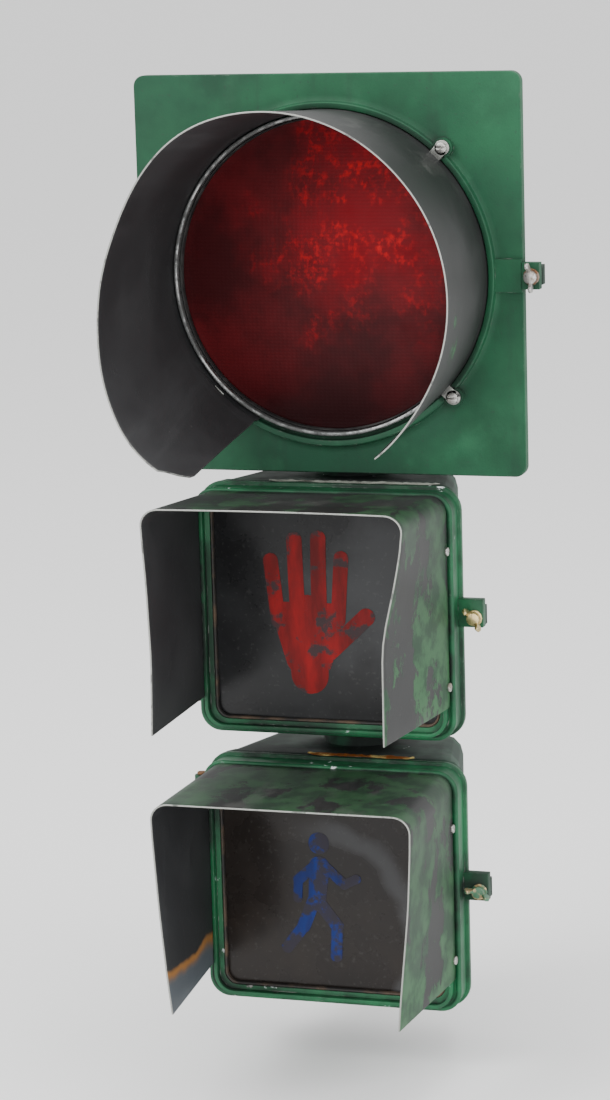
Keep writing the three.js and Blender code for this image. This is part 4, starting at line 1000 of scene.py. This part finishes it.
# %% [markdown]
# The square hoods are one bent sheet each: a top and two cheeks, open below. The bend follows a
# rounded square with its floor taken away, drawn out forwards in steps. Then the cheeks are
# pinched in towards their lower tips, each one by its own amount, since no two are bent alike.

# %% The square hoods
HOOD_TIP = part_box("wait_visor")[0][1] / MM
LENGTH = FRONT - HOOD_TIP


OUT_STEPS = 18
BASE_SHARE = 0.05


def square_hood(name, section_z, left_cheek, right_cheek, lift, skirt):
    piece = open_piece(name)
    w, h, corner = 117.95, 112.1, 20.05
    start = FRONT - 0.3
    bpy.ops.mesh.primitive_plane_add(size=2, location=(0, start * MM, section_z), rotation=UPRIGHT)
    bpy.ops.transform.resize(value=(w * MM, 1, h * MM), center_override=(0, start * MM, section_z))
    bpy.ops.mesh.subdivide(number_cuts=14)
    choose(piece, lambda co: abs(co.x) > (w - 0.1) * MM and co.z - section_z > (h - 0.1) * MM)
    bpy.ops.mesh.bevel(affect="VERTICES", offset=corner * MM, segments=8)
    choose(piece, lambda co: co.z - section_z < -skirt * MM)
    bpy.ops.mesh.delete(type="VERT")
    select_by("FACE")
    bpy.ops.mesh.select_all(action="SELECT")
    bpy.ops.mesh.delete(type="ONLY_FACE")
    select_by("VERT")

    def off_sheet(co):
        x, z = abs(co.x) / MM, (co.z - section_z) / MM
        if x > w - 0.1 or z > h - 0.1:
            return False
        on_corner = math.hypot(x - w + corner, z - h + corner) > corner - 0.6
        return not (x > w - corner and z > h - corner and on_corner)

    choose(piece, off_sheet)
    bpy.ops.mesh.delete(type="VERT")
    bpy.ops.mesh.select_all(action="SELECT")
    before = 0
    for step in range(OUT_STEPS + 1):
        out = BASE_SHARE + (1 - BASE_SHARE) * step / OUT_STEPS
        select_by("EDGE")
        forward = (0, -(out - before) * LENGTH * MM, 0)
        bpy.ops.mesh.extrude_region_move(TRANSFORM_OT_translate={"value": forward})
        before = out
    bpy.ops.object.mode_set(mode="OBJECT")
    for vert in piece.data.vertices:
        out = max(0.0, (start - vert.co.y / MM) / LENGTH - BASE_SHARE) / (1 - BASE_SHARE)
        x, z = vert.co.x / MM, (vert.co.z - section_z) / MM
        side = 1 if x > 0 else -1
        cheek = keyed(z, right_cheek if side > 0 else left_cheek, 12)
        x += side * (cheek - w) * out * smooth_step((abs(x) - w * 0.5) / (w * 0.45))
        crown = math.cos(x / w * 1.3)
        z += lift * out * smooth_step(z / 100) * (0.85 + 0.15 * crown) - 1.5 * out * smooth_step(-z / skirt)
        vert.co.x, vert.co.z = x * MM, z * MM + section_z
    thicken(piece, SHEET)
    bpy.ops.object.mode_set(mode="EDIT")
    return close_piece(piece, 0.35, 50)


wait_hood = square_hood(
    "wait_hood", wait_z, [(-97, 116.2), (-14, 114), (49, 116.2), (95, 119.5)],
    [(-97, 99.4), (3, 100), (21, 103), (57, 113), (92, 120)], 10.5, 97)
wait_hood_paint = hood_paint("wait_hood_paint", wait_z, HOOD_TIP * MM, 0.62, False, 4.4)
walk_hood = square_hood(
    "walk_hood", walk_z, [(-103, 103.5), (-51, 109.7), (14, 115.3), (91, 120)],
    [(-100, 105.8), (-63, 108.5), (-17, 113.3), (29, 118), (86, 121)], 0.5, 97)
walk_hood_paint = hood_paint("walk_hood_paint", walk_z, HOOD_TIP * MM, 0.85, True, 6.1)
install_both(wait_hood, walk_hood, (wait_hood_paint, walk_hood_paint), "charcoal_paint", "visor")

# %% [markdown]
# The square lenses are pillows of glass in a rubber lip. Loops that shrink towards the middle
# and rise by less and less give the pillow. The rubber is a thin round-nosed frame.

# %% Square glass and rubber
pane_low, pane_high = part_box("wait_lens")
PANE = (pane_high[0] / MM, (pane_high[2] - pane_low[2]) / MM / 2)
PANE_Y = FRONT + 6.4
pane = open_piece("wait_glass")
PILLOW = 3.4
BORDER, LAST = 7, 96
loops = [inset(PANE, 0, 14, PANE_Y + 4), inset(PANE, 0, 14, PANE_Y), inset(PANE, BORDER, 12, PANE_Y)]
for step in (14, 24, 38, 55, 75, LAST):
    rise = PILLOW * (1 - (1 - min(1, (step - BORDER) / (LAST - BORDER))) ** 2)
    loops.append(inset(PANE, step, max(3, 12 - step * 0.09), PANE_Y - rise))
stack(pane, loops, wait_z, closed=False, caps=True)
close_piece(pane, 0, 60)
lower_pane = copy_down(pane, "walk_glass")
install_both(pane, lower_pane, (wait_glass, walk_glass), "dark_glass", "lens")

aged_rubber = plain_stuff("aged_rubber", (0.014, 0.013, 0.012), (0.10, 0.065, 0.04), 0.55, 0.66)
lip = open_piece("wait_glass_rubber")
stack(lip, [
    inset(OPENING, 0.2, 12.8, FRONT + 4), inset(OPENING, 0.3, 12.7, FRONT + 1.8),
    inset(OPENING, 1.2, 11.8, FRONT + 1.0), inset(OPENING, 2.4, 10.8, FRONT + 2),
    inset(OPENING, 2.8, 10.4, FRONT + 5.2), inset(OPENING, 2, 11, FRONT + 6.1),
    inset(PANE, -0.3, 14.2, FRONT + 6.1), inset(PANE, -0.3, 14.2, FRONT + 10.7),
    inset(OPENING, 1, 12, FRONT + 10.7), inset(OPENING, 1, 12, FRONT + 12.4),
    inset(PANE, -3.2, 16, FRONT + 12.4), inset(PANE, -3.2, 16, FRONT + 4.3),
], wait_z)
close_piece(lip, 0.2)
lower_lip = copy_down(lip, "walk_glass_rubber")
install_both(lip, lower_lip, (aged_rubber, aged_rubber), "rubber", "lens_gasket")

# %% [markdown]
# Each square lens carries a plain sign in brushed paint: a raised hand for wait and a striding
# figure for walk, both of simple bars with round ends. Each bar is a fine grid bent to its shape.
# A shrinkwrap lays it on the curve of the glass, each a hair above the last, so that no two share
# a plane. Then the bars are joined into one piece, and the paint gets its thickness.

# %% The signs on the glass
def bar(number, start, end, radius, taper=1.0):
    """A flat bar with round ends between two points (x, z) in mm, as a fine grid of faces."""
    piece = open_piece("bar")
    a, b = Vector((start[0], 0, start[1])), Vector((end[0], 0, end[1]))
    length = (b - a).length
    along = (b - a) / length
    across = Vector((along.z, 0, -along.x))
    columns, rows = round((length + 2 * radius) / 1.2), max(4, round(2 * radius / 3))
    bpy.ops.mesh.primitive_grid_add(x_subdivisions=columns, y_subdivisions=rows, size=2)
    mesh = bmesh.from_edit_mesh(piece.data)
    for vert in mesh.verts:
        travel = (vert.co.x * 0.5 + 0.5) * (length + 2 * radius) - radius
        part = min(max(travel / length, 0), 1)
        beyond = travel - part * length
        half = radius * (1 + (taper - 1) * part)
        width = math.sqrt(max(0.0, 1 - (beyond / radius) ** 2)) if beyond else 1
        point = a + along * travel + across * vert.co.y * half * max(width, 0.03)
        vert.co = Vector((point.x, -0.03 * number, point.z)) * MM
    bmesh.update_edit_mesh(piece.data)
    bpy.ops.object.mode_set(mode="OBJECT")
    return piece


def sign(name, bars, section_z, shift, ground):
    pieces = []
    for number, shape in enumerate(bars):
        piece = bar(number, *shape)
        lift = 0.2 + 0.04 * number
        place = (shift[0] * MM, (FRONT - 20) * MM, section_z + shift[1] * MM)
        piece.data.transform(Matrix.Translation(place))
        laid = piece.modifiers.new("lay", "SHRINKWRAP")
        laid.target = ground
        laid.wrap_method = "PROJECT"
        laid.use_project_x = laid.use_project_z = False
        laid.use_project_y = True
        laid.use_positive_direction = laid.use_negative_direction = True
        bpy.ops.object.modifier_apply(modifier="lay")
        piece.data.transform(Matrix.Translation((0, -lift * MM, 0)))
        pieces.append(piece)
    deselect()
    for piece in pieces:
        piece.select_set(True)
    bpy.context.view_layer.objects.active = pieces[0]
    bpy.ops.object.join()
    whole = bpy.context.view_layer.objects.active
    whole.name = whole.data.name = name
    thicken(whole, 0.15)
    bpy.ops.object.shade_smooth_by_angle(angle=math.radians(40))
    depths = [vert.co.y / MM for vert in whole.data.vertices]
    print(name, "of", len(bars), "bars, depth", round(min(depths), 1), round(max(depths), 1))
    return whole


HAND = [((-22, -6), (-12, -46), 14, 0.9), ((-2, -4), (-2, -60), 19, 0.95), ((18, -6), (8, -46), 14, 0.9),
        ((-31, -10), (-37, 46), 7.2), ((-12, 0), (-14, 66), 7.4), ((9, 0), (9, 68), 7.4),
        ((27, -8), (31, 50), 7.0), ((18, -38), (54, -4), 8.2)]
WALKER = [((0, 41), (0, 42), 10), ((0, 19), (-3, -14), 10, 0.85), ((-4, -12), (16, -38), 6.4),
          ((16, -38), (14, -68), 5.6), ((-6, -14), (-17, -40), 6.4), ((-17, -40), (-34, -62), 5.6),
          ((4, 21), (24, 3), 5.0), ((24, 3), (36, 9), 4.4),
          ((-3, 21), (-21, 5), 5.0), ((-21, 5), (-22, -13), 4.4)]
hand = sign("wait_hand_sign", HAND, wait_z, (-14, 2), pane)
install(hand, wait_paint, "wait_door", "dark_glass")
walker = sign("walk_figure_sign", WALKER, walk_z, (-12, -2), lower_pane)
install(walker, walk_paint, "walk_door", "dark_glass")

# %% [markdown]
# The smaller castings and the fasteners already have their right shapes. Each gets a finished
# copy: the loose triangles are merged, flat areas are dissolved back to single faces, sharp edges
# are broken by a fine bevel, and the shading is smoothed. The copy stands for its node.

# %% Finished copies of castings and fasteners
def finished(node, material, bevel=0.4, angle=40):
    source = frame["nodes"][node]
    slot = next(s["material_slot"] for s in frame["record"]["subparts"] if s["node"] == node)
    deselect()
    piece = copy_of(source, node + "_finished")
    piece.select_set(True)
    bpy.context.view_layer.objects.active = piece
    bpy.ops.object.mode_set(mode="EDIT")
    select_by("VERT")
    bpy.ops.mesh.select_all(action="SELECT")
    bpy.ops.mesh.remove_doubles(threshold=MERGE)
    bpy.ops.mesh.dissolve_limited(angle_limit=math.radians(1))
    bpy.ops.object.mode_set(mode="OBJECT")
    round_edges(piece, bevel, angle)
    install(piece, material, source["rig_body"], slot, node)


for section in height:
    finished(section + "_housing", casting_paint, 0.8)
for node, material in {
    "red_wing_screw": plain_steel, "wait_wing_screw": old_brass, "walk_wing_screw": painted_brass,
    "red_latch_washer": rusty_steel, "wait_latch_washer": old_brass, "walk_latch_washer": painted_brass,
}.items():
    finished(node, material, 0.5)
for number in range(1, 5):
    finished(f"red_visor_screw_{number}", plain_steel, 0.35)
for section in height:
    for level_name in ("upper", "lower"):
        finished(f"{section}_hinge_pin_{level_name}", rusty_steel, 0.4)
for name in ("upper", "lower"):
    finished(name + "_coupling_ring", bare_aluminium, 0.6)
    finished(name + "_nipple", rusty_steel, 0.4)
    finished(name + "_lock_nut", rusty_steel, 0.4)
finished("closure_cap", bare_aluminium, 0.8)
for section in height:
    finished(section + "_reflector", spun_mirror, 0.0)
    finished(section + "_lamp", lamp_glass, 0.0)
    finished(section + "_lamp_socket", glazed_ceramic, 0.3)
    finished(section + "_lamp_lead", wire_covering, 0.0)
    finished(section + "_lens_retainer", plain_steel, 0.2)
    finished(section + "_door_seal", rubber_seal, 0.3)
finished("terminal_block", brown_bakelite, 0.4)

# %% [markdown]
# Each square hood is held by two round-headed screws in each cheek. One screw is modelled, a
# cylinder whose face is inset, domed and slotted, and its eight copies are turned and moved to
# their places.

# %% Hood screws
SCREW_OUT = 118.6
SCREW_LEVEL = 63
head = open_piece("hood_screw")
rod((0, 0, 0), (2.2, 0, 0), 4.2, 32)
choose(head, lambda co: co.x > 2 * MM)
bpy.ops.mesh.inset(thickness=1.4 * MM)
bpy.ops.transform.translate(value=(0.7 * MM, 0, 0))
close_piece(head, 0.3)
slot_cut = open_piece("slot_cut")
brick(1.9, 4, -0.5, 0.5, -6, 6)
close_piece(slot_cut, 0)
groove = head.modifiers.new("slot", "BOOLEAN")
groove.object = slot_cut
bpy.context.view_layer.objects.active = head
bpy.ops.object.modifier_apply(modifier="slot")
bpy.data.objects.remove(slot_cut)
for section, section_z in (("wait", wait_z), ("walk", walk_z)):
    for side, side_name in ((1, "right"), (-1, "left")):
        for level_z, level_name in ((SCREW_LEVEL, "upper"), (-SCREW_LEVEL, "lower")):
            twin = copy_of(head, f"{section}_hood_screw_{side_name}_{level_name}")
            outwards = Matrix.Rotation(math.radians(0 if side > 0 else 180), 4, "Z")
            slot_turn = Matrix.Rotation(math.radians(level_z * 0.9), 4, "X")
            place = (side * SCREW_OUT * MM, (FRONT - 4.2) * MM, section_z + level_z * MM)
            twin.data.transform(Matrix.Translation(place) @ (outwards @ slot_turn))
            install(twin, plain_steel, section + "_door", "steel")
bpy.data.objects.remove(head)

# %% [markdown]
# Old sealing compound was smeared along the top seam of each square section. It has dried, gone
# orange with rust in places and white with lime in others. A grid lies along the seam, a noise
# pushes its points about, higher in the middle than at its edges, and it is made solid.

# %% Dried sealant
from mathutils import noise

sealant = plain_stuff("dried_sealant", (0.045, 0.045, 0.038), (0.20, 0.21, 0.18), 0.8, 0.8, 150)
rusty_sealant = metal("rusty_sealant", (0.36, 0.12, 0.03), (0.50, 0.42, 0.16), 0.5, 0.75)
SEAM = 118
for section, section_z, material, span in (("wait", wait_z, sealant, (-60, 104)),
                                           ("walk", walk_z, rusty_sealant, (-30, 74))):
    smear = open_piece(section + "_sealant")
    y = REAR + 3.2
    z = section_z / MM + SEAM
    bpy.ops.mesh.primitive_grid_add(x_subdivisions=110, y_subdivisions=6, size=1, location=(0, 0, 0))
    bpy.ops.object.mode_set(mode="OBJECT")
    for vert in smear.data.vertices:
        u, v = vert.co.x + 0.5, vert.co.y
        x = span[0] + (span[1] - span[0]) * u
        ragged = noise.noise(Vector((x * 0.09, section_z * 10, 1.7)))
        width = (3.2 + 2.6 * ragged) * min(1, min(u, 1 - u) * 18)
        lift = 1.4 * (1 - (2 * v) ** 2) * (0.6 + 0.8 * noise.noise(Vector((x * 0.2, v * 2, 4.0))))
        drift = 1.2 * noise.noise(Vector((x * 0.05, 9, 0)))
        vert.co = Vector((x, y + v * 2 * width + drift, z + max(0, lift))) * MM
    thicken(smear, 0.5, -1)
    bpy.ops.object.mode_set(mode="EDIT")
    close_piece(smear, 0, 60)
    install(smear, material, "housings", "bakelite")

# %% Finish
print("frame box", [[round(v, 4) for v in corner] for corner in cad_box])
